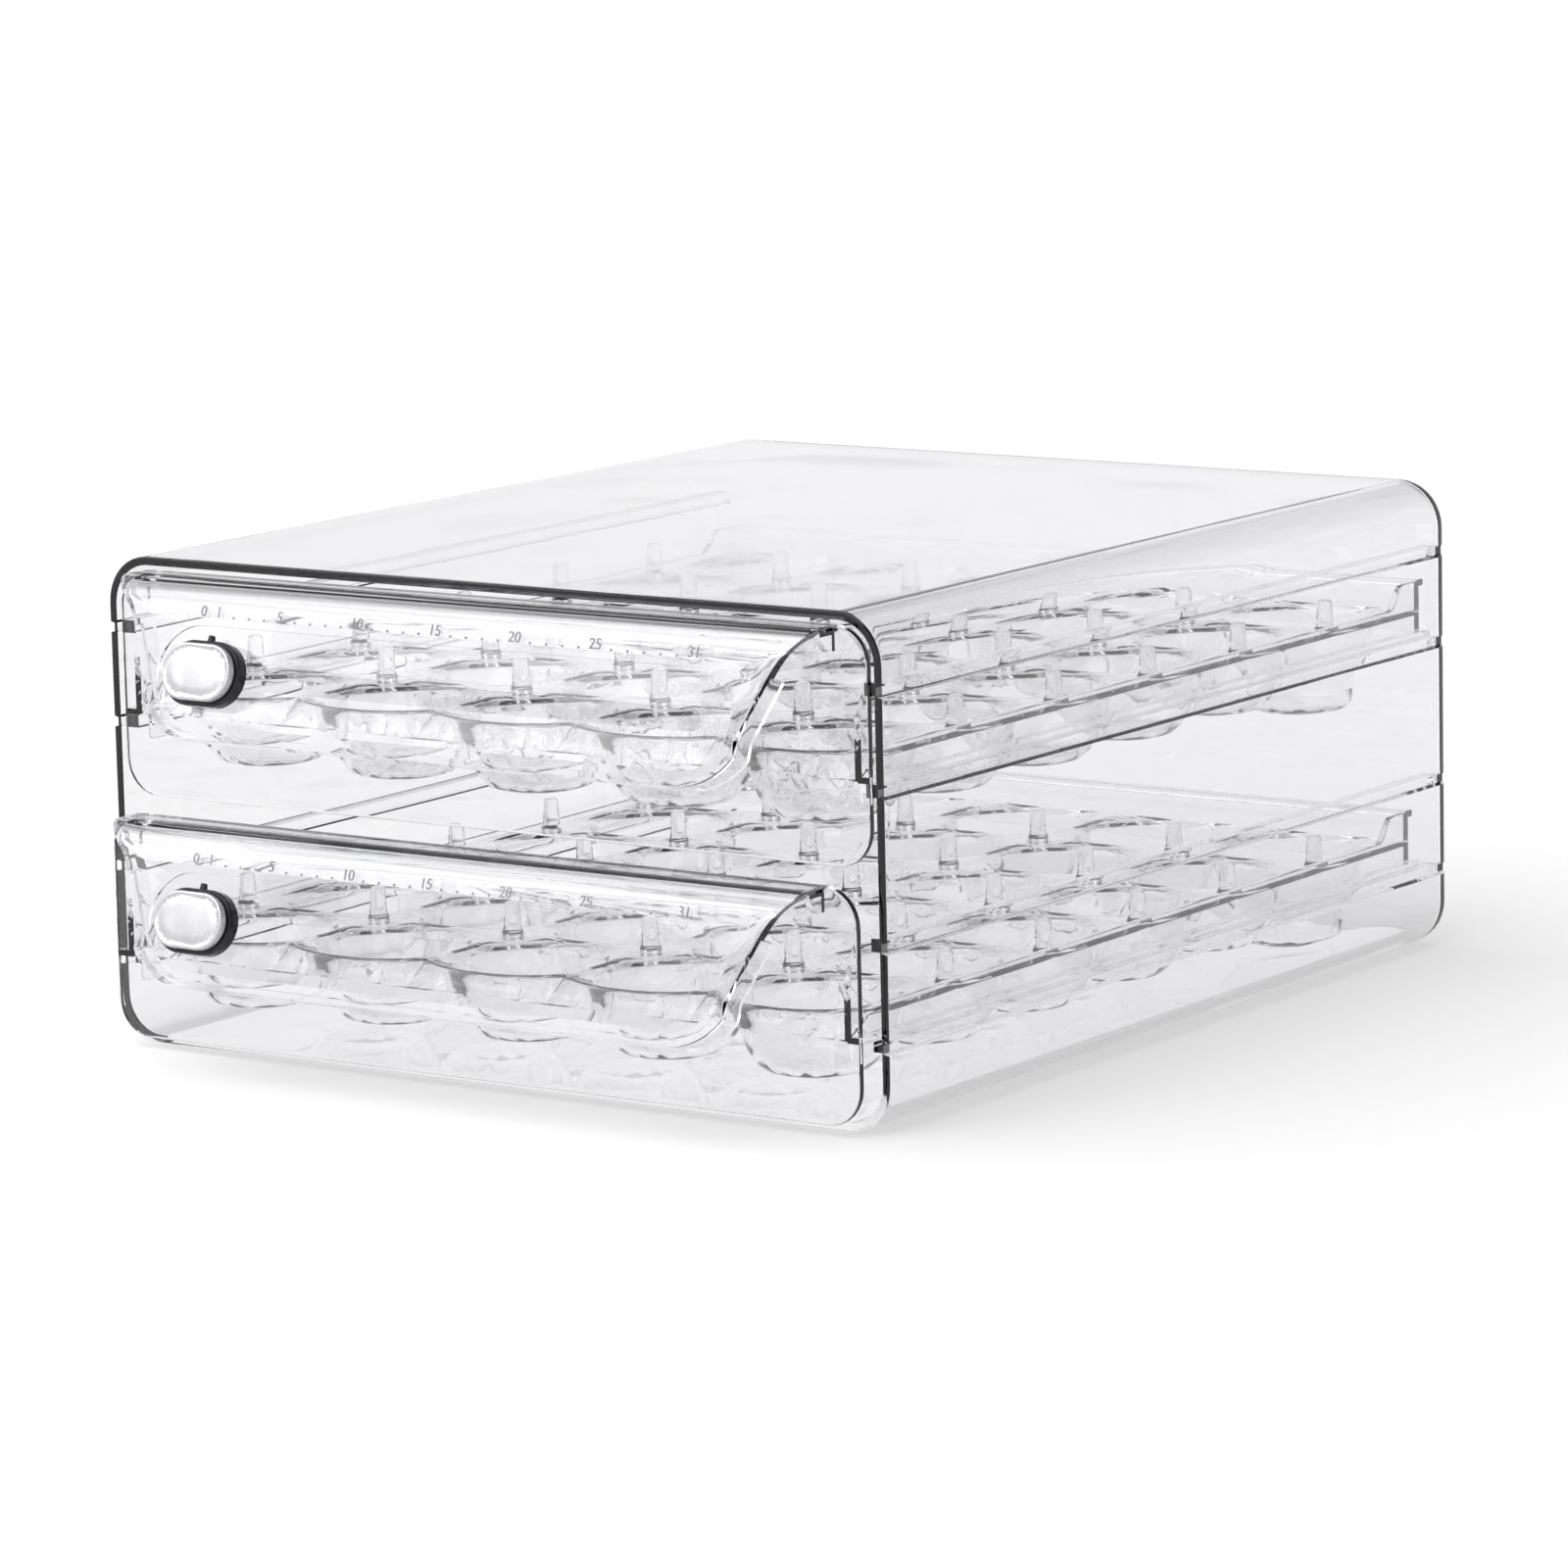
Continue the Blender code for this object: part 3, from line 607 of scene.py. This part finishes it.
middle_faces = {face.index for face in bmesh.from_edit_mesh(apron.data).faces if face.select}
pick(
    "FACE",
    lambda face: face.normal.dot(outward) < -FRONT_FACING
    and face.index not in middle_faces
    and face.calc_center_median().z < RETURN_TOP,
)
bpy.ops.mesh.extrude_region_move(TRANSFORM_OT_translate={"value": -outward * RETURN_DEPTH})
bpy.ops.mesh.select_all(action="SELECT")
bpy.ops.mesh.normals_make_consistent(inside=False)
bpy.ops.mesh.quads_convert_to_tris()
done()


def oval_block(name, width, height, near, far, middle, steps=12):
    """A plate with fully round ends, standing on the XZ plane between two depths."""
    low = (middle[0] - width / 2, near, middle[1] - height / 2)
    high = (middle[0] + width / 2, far, middle[1] + height / 2)
    piece = block(name, low, high)
    edit(piece)
    pick("EDGE", lambda edge: runs_along(edge, 1))
    bpy.ops.mesh.bevel(offset=height / 2 - NEAR, segments=steps, affect="EDGES")
    bpy.ops.mesh.select_all(action="SELECT")
    bpy.ops.mesh.remove_doubles(threshold=3 * NEAR)
    bpy.ops.mesh.normals_make_consistent(inside=False)
    done()
    return piece


def tip(piece, middle):
    """Leans a piece to the apron's slope, about a line through its middle, and brings it there."""
    bpy.ops.object.select_all(action="DESELECT")
    bpy.context.view_layer.objects.active = piece
    piece.select_set(True)
    piece.data.transform(Matrix.Translation(middle) @ Matrix.Rotation(-APRON_TILT, 4, "X"))


SLOT_MIDDLE = Vector((0, FRONT_Y - 0.0200, FLANGE_Z + 0.01665))
SLOT_LENGTH = 0.1650
SLOT_HEIGHT = 0.0057
RELIEF_LENGTH = 0.1838
RELIEF_HEIGHT = 0.0262
RELIEF_DEPTH = 0.0014
SLOT_BORDER = 0.0030
SLOT_BORDER_DEPTH = 0.0018
CUTTER_FRONT = -0.003
CUTTER_BACK = 0.006
for cutter_length, cutter_height, far in (
    (RELIEF_LENGTH, RELIEF_HEIGHT, RELIEF_DEPTH),
    (SLOT_LENGTH + SLOT_BORDER, SLOT_HEIGHT + SLOT_BORDER, SLOT_BORDER_DEPTH),
    (SLOT_LENGTH, SLOT_HEIGHT, CUTTER_BACK),
):
    cutter = oval_block("slot_cutter", cutter_length, cutter_height, CUTTER_FRONT, far, (0, 0))
    tip(cutter, SLOT_MIDDLE)
    combine(apron, cutter, "DIFFERENCE")
combine(panel, apron, "UNION")

GUSSET_X = (0.1085, 0.1105)
GUSSET_RUN = 0.0065
GUSSET_CORNER = 0.004
RIB_X = (0.1116, 0.1128)
RIB_DROP = 0.006
RIB_RUN = 0.008
FLANGE_IN = SIDE_IN + 0.0007
FLANGE_OUT = 0.1203
FLANGE_BACK_GAP = 0.0005
SWEEP_CUTS = 10
RISE_CUTS = 6
RISE_START = REAR_OUT - 0.0165
RISE_RUN = 0.0075
WALL_TOP_EDGE = 0.0004
for side in (-1, 1):
    ends = sorted(side * x for x in GUSSET_X)
    gusset = block(
        "gusset",
        (ends[0], FRONT_Y - GUSSET_RUN, PANEL_TOP - GUSSET_RUN),
        (ends[1], FRONT_Y + WELD, PANEL_TOP - APRON_THICKNESS / 2),
    )
    edit(gusset)
    pick(
        "EDGE",
        lambda edge: all(
            corner.co.y < FRONT_Y - GUSSET_RUN + NEAR
            and corner.co.z < PANEL_TOP - GUSSET_RUN + NEAR
            for corner in edge.verts
        ),
    )
    bpy.ops.mesh.bevel(offset=GUSSET_CORNER, segments=4, profile=0.3, affect="EDGES")
    done()
    combine(panel, gusset, "UNION")
    ends = sorted(side * x for x in RIB_X)
    rib = block(
        "rib",
        (ends[0], FRONT_Y + WELD, FLANGE_Z - RIB_DROP),
        (ends[1], FRONT_Y + RIB_RUN, FLANGE_Z + WELD),
    )
    combine(panel, rib, "UNION")

    ends = sorted((side * SIDE_IN, side * SIDE_OUT))
    side_wall = block(
        "side_wall",
        (ends[0], FRONT_Y + WELD, FLANGE_Z + SHEET / 4),
        (ends[1], REAR_OUT - SIDE_BACK_GAP, FLANGE_Z + SIDE_TOP),
    )
    edit(side_wall)
    sweep_end = FRONT_Y + WELD + TONGUE_RUN
    for step in range(1, SWEEP_CUTS + 1):
        slice_at(1, sweep_end - TONGUE_RUN * cos(step * pi / 2 / SWEEP_CUTS))
    for step in range(RISE_CUTS + 1):
        slice_at(1, RISE_START + RISE_RUN * step / RISE_CUTS)
    for corner in bmesh.from_edit_mesh(side_wall.data).verts:
        if corner.co.z < FLANGE_Z + SIDE_TOP - NEAR:
            continue
        if corner.co.y < sweep_end:
            way = 1 - (corner.co.y - FRONT_Y - WELD) / TONGUE_RUN
            corner.co.z = FLANGE_Z + TONGUE_TOP - (TONGUE_TOP - SIDE_TOP) * (1 - way * way) ** 0.5
        elif corner.co.y > RISE_START:
            share = min(1, (corner.co.y - RISE_START) / RISE_RUN)
            corner.co.z += (REAR_TOP - SIDE_TOP) * (1 - cos(pi * share)) / 2
    pick(
        "EDGE",
        lambda edge: not runs_along(edge, 0)
        and all(corner.co.z > FLANGE_Z + SIDE_TOP - NEAR for corner in edge.verts)
        and len({round(corner.co.x, 5) for corner in edge.verts}) == 1
        and any(face.normal.z > 0.2 for face in edge.link_faces),
    )
    bpy.ops.mesh.bevel(offset=WALL_TOP_EDGE, segments=2, affect="EDGES")
    bpy.ops.mesh.select_all(action="SELECT")
    bpy.ops.mesh.quads_convert_to_tris()
    done()
    combine(panel, side_wall, "UNION")
    ends = sorted((side * FLANGE_IN, side * FLANGE_OUT))
    flange = block(
        "flange",
        (ends[0], FRONT_Y + WELD, FLANGE_Z),
        (ends[1], REAR_OUT - FLANGE_BACK_GAP, FLANGE_Z + SHEET),
    )
    combine(panel, flange, "UNION")
LIP_RISE = 0.0003
LIP_SETBACK = 0.0006
LIP_OVERHANG = 0.0004
LIP_BACK = FRONT_Y + 0.2784
rear_wall = block(
    "rear_wall",
    (-WALL_MIDDLE_X, REAR_IN, FLANGE_Z + SHEET / 2),
    (WALL_MIDDLE_X, REAR_OUT, FLANGE_Z + REAR_TOP - LIP_RISE),
)
combine(panel, rear_wall, "UNION")
rear_lip = block(
    "rear_lip",
    (-WALL_MIDDLE_X - LIP_OVERHANG, REAR_IN + LIP_SETBACK, FLANGE_Z + REAR_TOP - SHEET),
    (WALL_MIDDLE_X + LIP_OVERHANG, LIP_BACK, FLANGE_Z + REAR_TOP + LIP_RISE),
)
edit(rear_lip)
pick("EDGE", lambda edge: runs_along(edge, 0))
bpy.ops.mesh.bevel(offset=PANEL_EDGE, segments=2, affect="EDGES")
done()
combine(panel, rear_lip, "UNION")
combine(panel, sheet, "UNION")
smooth(panel, 40)
upper_drawer = panel
upper_drawer.name = "upper_drawer_moulding"


def copy_down(piece, name):
    """The same piece of the lower drawer, which stands a little open."""
    copied = piece.copy()
    copied.data = piece.data.copy()
    bpy.context.scene.collection.objects.link(copied)
    copied.name = name
    copied.data.transform(Matrix.Translation((0, -AJAR, -STOREY)))
    return copied


lower_drawer = copy_down(upper_drawer, "lower_drawer_moulding")
DRAWER_TINT = (0.975, 0.975, 0.98)
drawer_plastic = clear_plastic(
    "clear_drawer_plastic", DRAWER_TINT, roughness=0.012, waviness=0.25, cloud=0.012
)
for layer, drawer in (("upper", upper_drawer), ("lower", lower_drawer)):
    drawer.data.materials.append(drawer_plastic)
    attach(drawer, layer + "_drawer")
    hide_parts(layer + "_front", layer + "_side_frame", layer + "_egg_sheet")


# ---------------------------------------------------------------- day scale
# Numbers for the days an egg has been kept, with a dot for each day between. They are moulded
# on each apron above the slot, raised a little and frosted.

DAY_STEP = 0.00507
DAYS = 32
MIDDLE_DAY = 15.5
LABELS = (0, 1, 5, 10, 15, 20, 25, 31)
SCALE_HEIGHT = 0.0028
CAPITAL_SHARE = 0.69
RAISED = 0.0001
DOT_RADIUS = 0.00036
DOT_DROP = 0.0011
SCALE_TINT = (0.50, 0.50, 0.52)
SCALE_RISE = 0.0324
scale_line = FLANGE_Z + SCALE_RISE
scale_y = APRON_FOOT_Y + (scale_line - APRON_FOOT_Z) * tan(APRON_TILT)
marks = []
for day in range(DAYS):
    x = DAY_STEP * (day - MIDDLE_DAY)
    bpy.ops.object.select_all(action="DESELECT")
    if day in LABELS:
        bpy.ops.object.text_add()
        mark = bpy.context.object
        mark.data.body = str(day)
        mark.data.size = SCALE_HEIGHT / CAPITAL_SHARE
        mark.data.align_x = "CENTER"
        mark.data.align_y = "CENTER"
        mark.data.extrude = RAISED
        mark.data.resolution_u = 4
        bpy.ops.object.convert(target="MESH")
        mark = bpy.context.object
        mark.data.transform(Matrix.Rotation(pi / 2, 4, "X"))
        mark.data.transform(Matrix.Translation((0, -RAISED, 0)))
    else:
        bpy.ops.mesh.primitive_cylinder_add(vertices=10, radius=DOT_RADIUS, depth=2 * RAISED)
        mark = bpy.context.object
        mark.data.transform(Matrix.Rotation(pi / 2, 4, "X"))
        mark.data.transform(Matrix.Translation((0, -RAISED, -DOT_DROP)))
    mark.data.transform(Matrix.Rotation(-APRON_TILT, 4, "X"))
    mark.data.transform(Matrix.Translation((x, scale_y - RAISED, scale_line)))
    marks.append(mark)
upper_scale = join(marks)
upper_scale.name = "upper_day_scale"
upper_scale.matrix_world = Matrix.Identity(4)
edit(upper_scale)
bpy.ops.mesh.select_all(action="SELECT")
bpy.ops.mesh.remove_doubles(threshold=NEAR / 10)
bpy.ops.mesh.normals_make_consistent(inside=False)
done()
lower_scale = copy_down(upper_scale, "lower_day_scale")
scale_plastic = clear_plastic(
    "frosted_scale_plastic", SCALE_TINT, roughness=0.35, waviness=0.1, cloud=0.05
)
for layer, scale in (("upper", upper_scale), ("lower", lower_scale)):
    scale.data.materials.clear()
    scale.data.materials.append(scale_plastic)
    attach(scale, layer + "_drawer")


# ---------------------------------------------------------------- date markers
# An oval slider on each apron: a black plated body with a pointer and a shank through the slot,
# a satin silver cap pressed into its front, and a frosted clip behind that holds it in.

MARKER_WIDTH = 0.025
MARKER_HEIGHT = 0.0173
STORED_DAY = 1
SHOE_FRONT = -0.0035
SHOE_BACK = -0.0003
SHOE_EDGE = 0.0006
SHANK_FRONT = -0.0020
SHANK_END = 0.0055
SHANK_WIDTH = 0.0072
SHANK_HEIGHT = 0.0051
POINTER_HALF_WIDTH = 0.0008
POINTER_RISE = 0.0016
POINTER_SINK = 0.001
POINTER_FRONT = -0.0024
POINTER_BACK = -0.0005
POINTER_MIDDLE = -0.0014
POINTER_TAPER = (0.55, 0.8, 1)
CAP_INSET = 0.0022
CAP_FRONT = -0.0057
CAP_BACK = -0.0038
# Each step of the cap's face, from its rim to its middle: how far in, and how far it rises
CAP_STEPS = (
    (0.00025, -0.00030),
    (0.0006, -0.00005),
    (0.0003, 0.00025),
    (0.0010, -0.00015),
    (0.0016, -0.0001),
)
CLIP_WIDTH = 0.0150
CLIP_HEIGHT = 0.0105
CLIP_NEAR = 0.0029
CLIP_FAR = 0.0043
HOLE_WIDTH = 0.0078
HOLE_HEIGHT = 0.0057
# Two corners each of the shank's barb, the socket in the body and the cap's peg that fits it
BARB = ((-0.0044, 0.0046, -0.0012), (0.0044, 0.0054, 0.0012))
SOCKET = ((-0.0028, -0.01, -0.0017), (0.0028, -0.0020, 0.0017))
PEG = ((-0.0025, -0.0045, -0.0014), (0.0025, -0.0026, 0.0014))
marker_middle = Vector((DAY_STEP * (STORED_DAY - MIDDLE_DAY), SLOT_MIDDLE.y, SLOT_MIDDLE.z))

shoe = oval_block(
    "upper_date_marker_body", MARKER_WIDTH, MARKER_HEIGHT, SHOE_FRONT, SHOE_BACK, (0, 0), 18
)
edit(shoe)
pick("EDGE", lambda edge: all(corner.co.y < SHOE_FRONT + NEAR for corner in edge.verts))
bpy.ops.mesh.bevel(offset=SHOE_EDGE, segments=3, affect="EDGES")
bpy.ops.mesh.select_all(action="SELECT")
bpy.ops.mesh.quads_convert_to_tris()
done()
shank = oval_block("shank", SHANK_WIDTH, SHANK_HEIGHT, SHANK_FRONT, SHANK_END, (0, 0), 8)
combine(shoe, shank, "UNION")
combine(shoe, block("barb", *BARB), "UNION")
pointer = block(
    "pointer",
    (-POINTER_HALF_WIDTH, POINTER_FRONT, MARKER_HEIGHT / 2 - POINTER_SINK),
    (POINTER_HALF_WIDTH, POINTER_BACK, MARKER_HEIGHT / 2 + POINTER_RISE),
)
edit(pointer)
pick("VERT", lambda corner: corner.co.z > MARKER_HEIGHT / 2)
bpy.ops.transform.resize(value=POINTER_TAPER, center_override=(0, POINTER_MIDDLE, 0))
done()
combine(shoe, pointer, "UNION")
combine(shoe, block("socket", *SOCKET), "DIFFERENCE")
smooth(shoe, 40)

cap_size = (MARKER_WIDTH - CAP_INSET, MARKER_HEIGHT - CAP_INSET)
cap = oval_block("upper_date_marker_face", *cap_size, CAP_FRONT, CAP_BACK, (0, 0), 18)
edit(cap)
pick("FACE", lambda face: face.normal.y < -FACING)
for inset, rise in CAP_STEPS:
    bpy.ops.mesh.inset(thickness=inset)
    bpy.ops.transform.translate(value=(0, rise, 0))
done()
combine(cap, block("peg", *PEG), "UNION")
smooth(cap, 50)

clip = oval_block(
    "upper_date_marker_keeper", CLIP_WIDTH, CLIP_HEIGHT, CLIP_NEAR, CLIP_FAR, (0, 0), 12
)
hole = oval_block("clip_hole", HOLE_WIDTH, HOLE_HEIGHT, 0.0, 2 * CLIP_FAR, (0, 0), 8)
combine(clip, hole, "DIFFERENCE")
smooth(clip, 40)


def plated(name, dark, light, roughness, scale, metal):
    """A plated or coated finish whose tone and gloss drift slightly."""
    material = bpy.data.materials.new(name)
    material.use_nodes = True
    nodes, links = material.node_tree.nodes, material.node_tree.links
    shader = nodes["Principled BSDF"]
    shader.inputs["Metallic"].default_value = metal
    place = nodes.new("ShaderNodeTexCoord")
    noise = nodes.new("ShaderNodeTexNoise")
    noise.inputs["Scale"].default_value = scale
    noise.inputs["Detail"].default_value = 4
    links.new(place.outputs["Object"], noise.inputs["Vector"])
    tone = nodes.new("ShaderNodeValToRGB")
    tone.color_ramp.elements[0].position, tone.color_ramp.elements[1].position = 0.3, 0.7
    tone.color_ramp.elements[0].color = (*dark, 1)
    tone.color_ramp.elements[1].color = (*light, 1)
    links.new(noise.outputs["Fac"], tone.inputs["Fac"])
    links.new(tone.outputs["Color"], shader.inputs["Base Color"])
    gloss = nodes.new("ShaderNodeMapRange")
    gloss.inputs["To Min"].default_value = roughness * 0.8
    gloss.inputs["To Max"].default_value = roughness * 1.2
    links.new(noise.outputs["Fac"], gloss.inputs["Value"])
    links.new(gloss.outputs["Result"], shader.inputs["Roughness"])
    return material


SILVER_TONES = (0.56, 0.56, 0.57), (0.63, 0.63, 0.64)
BLACK_TONES = (0.018, 0.018, 0.02), (0.03, 0.03, 0.033)
FROSTED_TONES = (0.70, 0.71, 0.72), (0.78, 0.79, 0.80)
satin_silver = plated("satin_silver", *SILVER_TONES, roughness=0.28, scale=160, metal=1.0)
black_chrome = plated("black_chrome", *BLACK_TONES, roughness=0.16, scale=200, metal=0.6)
frosted = plated("frosted_clip_plastic", *FROSTED_TONES, roughness=0.45, scale=120, metal=0.0)
for piece, material, kind, finish in (
    (shoe, black_chrome, "shoe", "dark_chrome"),
    (cap, satin_silver, "cap", "satin_silver"),
    (clip, frosted, "clip", "frosted_plastic"),
):
    tip(piece, marker_middle)
    piece.data.materials.clear()
    piece.data.materials.append(material)
    lower_piece = copy_down(piece, piece.name.replace("upper", "lower"))
    for layer, copied in (("upper", piece), ("lower", lower_piece)):
        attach(copied, layer + "_marker")
        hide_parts(f"{layer}_marker_{kind}")


# ---------------------------------------------------------------- studio
# A plain white floor that glows a little, under a wide soft sun from above and a light room.
# The camera looks through a long lens, from the right and a little above.

FLOOR_SIZE = 60
FLOOR_DARK, FLOOR_LIGHT = 0.59, 0.61
FLOOR_GLOW = 0.50
FLOOR_ROUGHNESS = 0.9
FLOOR_GRAIN = 3
bpy.ops.object.select_all(action="DESELECT")
bpy.ops.mesh.primitive_plane_add(size=FLOOR_SIZE, location=(0, 0, 0))
floor = bpy.context.object
floor.name = "studio_floor"
white = bpy.data.materials.new("white_floor")
white.use_nodes = True
shader = white.node_tree.nodes["Principled BSDF"]
shader.inputs["Roughness"].default_value = FLOOR_ROUGHNESS
shader.inputs["Specular IOR Level"].default_value = 0.0
grain = white.node_tree.nodes.new("ShaderNodeTexNoise")
grain.inputs["Scale"].default_value = FLOOR_GRAIN
place = white.node_tree.nodes.new("ShaderNodeTexCoord")
white.node_tree.links.new(place.outputs["Object"], grain.inputs["Vector"])
shade = white.node_tree.nodes.new("ShaderNodeValToRGB")
shade.color_ramp.elements[0].color = (FLOOR_DARK, FLOOR_DARK, FLOOR_DARK, 1)
shade.color_ramp.elements[1].color = (FLOOR_LIGHT, FLOOR_LIGHT, FLOOR_LIGHT, 1)
shader.inputs["Emission Color"].default_value = (1, 1, 1, 1)
shader.inputs["Emission Strength"].default_value = FLOOR_GLOW
white.node_tree.links.new(grain.outputs["Fac"], shade.inputs["Fac"])
white.node_tree.links.new(shade.outputs["Color"], shader.inputs["Base Color"])
floor.data.materials.append(white)

# The room is bright round the horizon and darker overhead, which draws the plastic's edges, and
# a tall bright side on the left lights the flat faces. Each pair is a height and its brightness.
SKY = ((0.0, 1.0), (0.16, 0.88), (0.32, 0.86), (0.48, 0.5), (0.62, 0.16), (0.80, 0.12), (1.0, 0.5))
SKY_STRENGTH = 1.05
BRIGHT_SIDE_FROM, BRIGHT_SIDE_TO = -0.45, -0.85
BRIGHT_SIDE_LEVEL = 0.9
world = bpy.data.worlds.new("studio")
bpy.context.scene.world = world
world.use_nodes = True
nodes, links = world.node_tree.nodes, world.node_tree.links
direction = nodes.new("ShaderNodeTexCoord")
split = nodes.new("ShaderNodeSeparateXYZ")
links.new(direction.outputs["Generated"], split.inputs["Vector"])
ramp = nodes.new("ShaderNodeValToRGB")
while len(ramp.color_ramp.elements) < len(SKY):
    ramp.color_ramp.elements.new(0.5)
for element, (height, level) in zip(ramp.color_ramp.elements, SKY):
    element.position = height
    element.color = (level, level, level * 1.01, 1)
links.new(split.outputs["Z"], ramp.inputs["Fac"])
bright_side = nodes.new("ShaderNodeMapRange")
bright_side.inputs["From Min"].default_value = BRIGHT_SIDE_FROM
bright_side.inputs["From Max"].default_value = BRIGHT_SIDE_TO
bright_side.inputs["To Max"].default_value = BRIGHT_SIDE_LEVEL
links.new(split.outputs["X"], bright_side.inputs["Value"])
brighter = nodes.new("ShaderNodeMix")
brighter.data_type = "RGBA"
brighter.blend_type = "LIGHTEN"
brighter.inputs[0].default_value = 1.0
links.new(ramp.outputs["Color"], brighter.inputs[6])
links.new(bright_side.outputs["Result"], brighter.inputs[7])
links.new(brighter.outputs[2], nodes["Background"].inputs["Color"])
nodes["Background"].inputs["Strength"].default_value = SKY_STRENGTH

SUN_TILT = (radians(28), radians(-24), 0)
SUN_STRENGTH = 1.9
SUN_WIDTH = radians(70)
bpy.ops.object.light_add(type="SUN", location=(0, 0, 2), rotation=SUN_TILT)
key = bpy.context.object
key.data.energy = SUN_STRENGTH
key.data.angle = SUN_WIDTH

cycles = bpy.context.scene.cycles
cycles.max_bounces = 40
cycles.transmission_bounces = 36
cycles.glossy_bounces = 12
cycles.diffuse_bounces = 4
cycles.sample_clamp_indirect = 8
bpy.context.scene.view_settings.view_transform = "Standard"

CAMERA_TURN = radians(35.18)
CAMERA_RISE = radians(9.81)
CAMERA_ROLL = radians(-1.36)
CAMERA_DISTANCE = 1.8776
CAMERA_RIGHT = -0.0053
CAMERA_UP = 0.0567
CAMERA_LENS = 156.6
back = Vector(
    (
        sin(CAMERA_TURN) * cos(CAMERA_RISE),
        -cos(CAMERA_TURN) * cos(CAMERA_RISE),
        sin(CAMERA_RISE),
    )
)
level_right = (-back).cross(Vector((0, 0, 1))).normalized()
level_up = level_right.cross(-back)
right = level_right * cos(CAMERA_ROLL) + level_up * sin(CAMERA_ROLL)
up = level_up * cos(CAMERA_ROLL) - level_right * sin(CAMERA_ROLL)
camera = bpy.data.objects.new("camera", bpy.data.cameras.new("camera"))
bpy.context.scene.collection.objects.link(camera)
camera.data.sensor_width = 36
camera.data.lens = CAMERA_LENS
camera.data.clip_end = 200
place = back * CAMERA_DISTANCE + right * CAMERA_RIGHT + up * CAMERA_UP
camera.matrix_world = Matrix.Translation(place) @ Matrix((right, up, back)).transposed().to_4x4()
bpy.context.scene.camera = camera
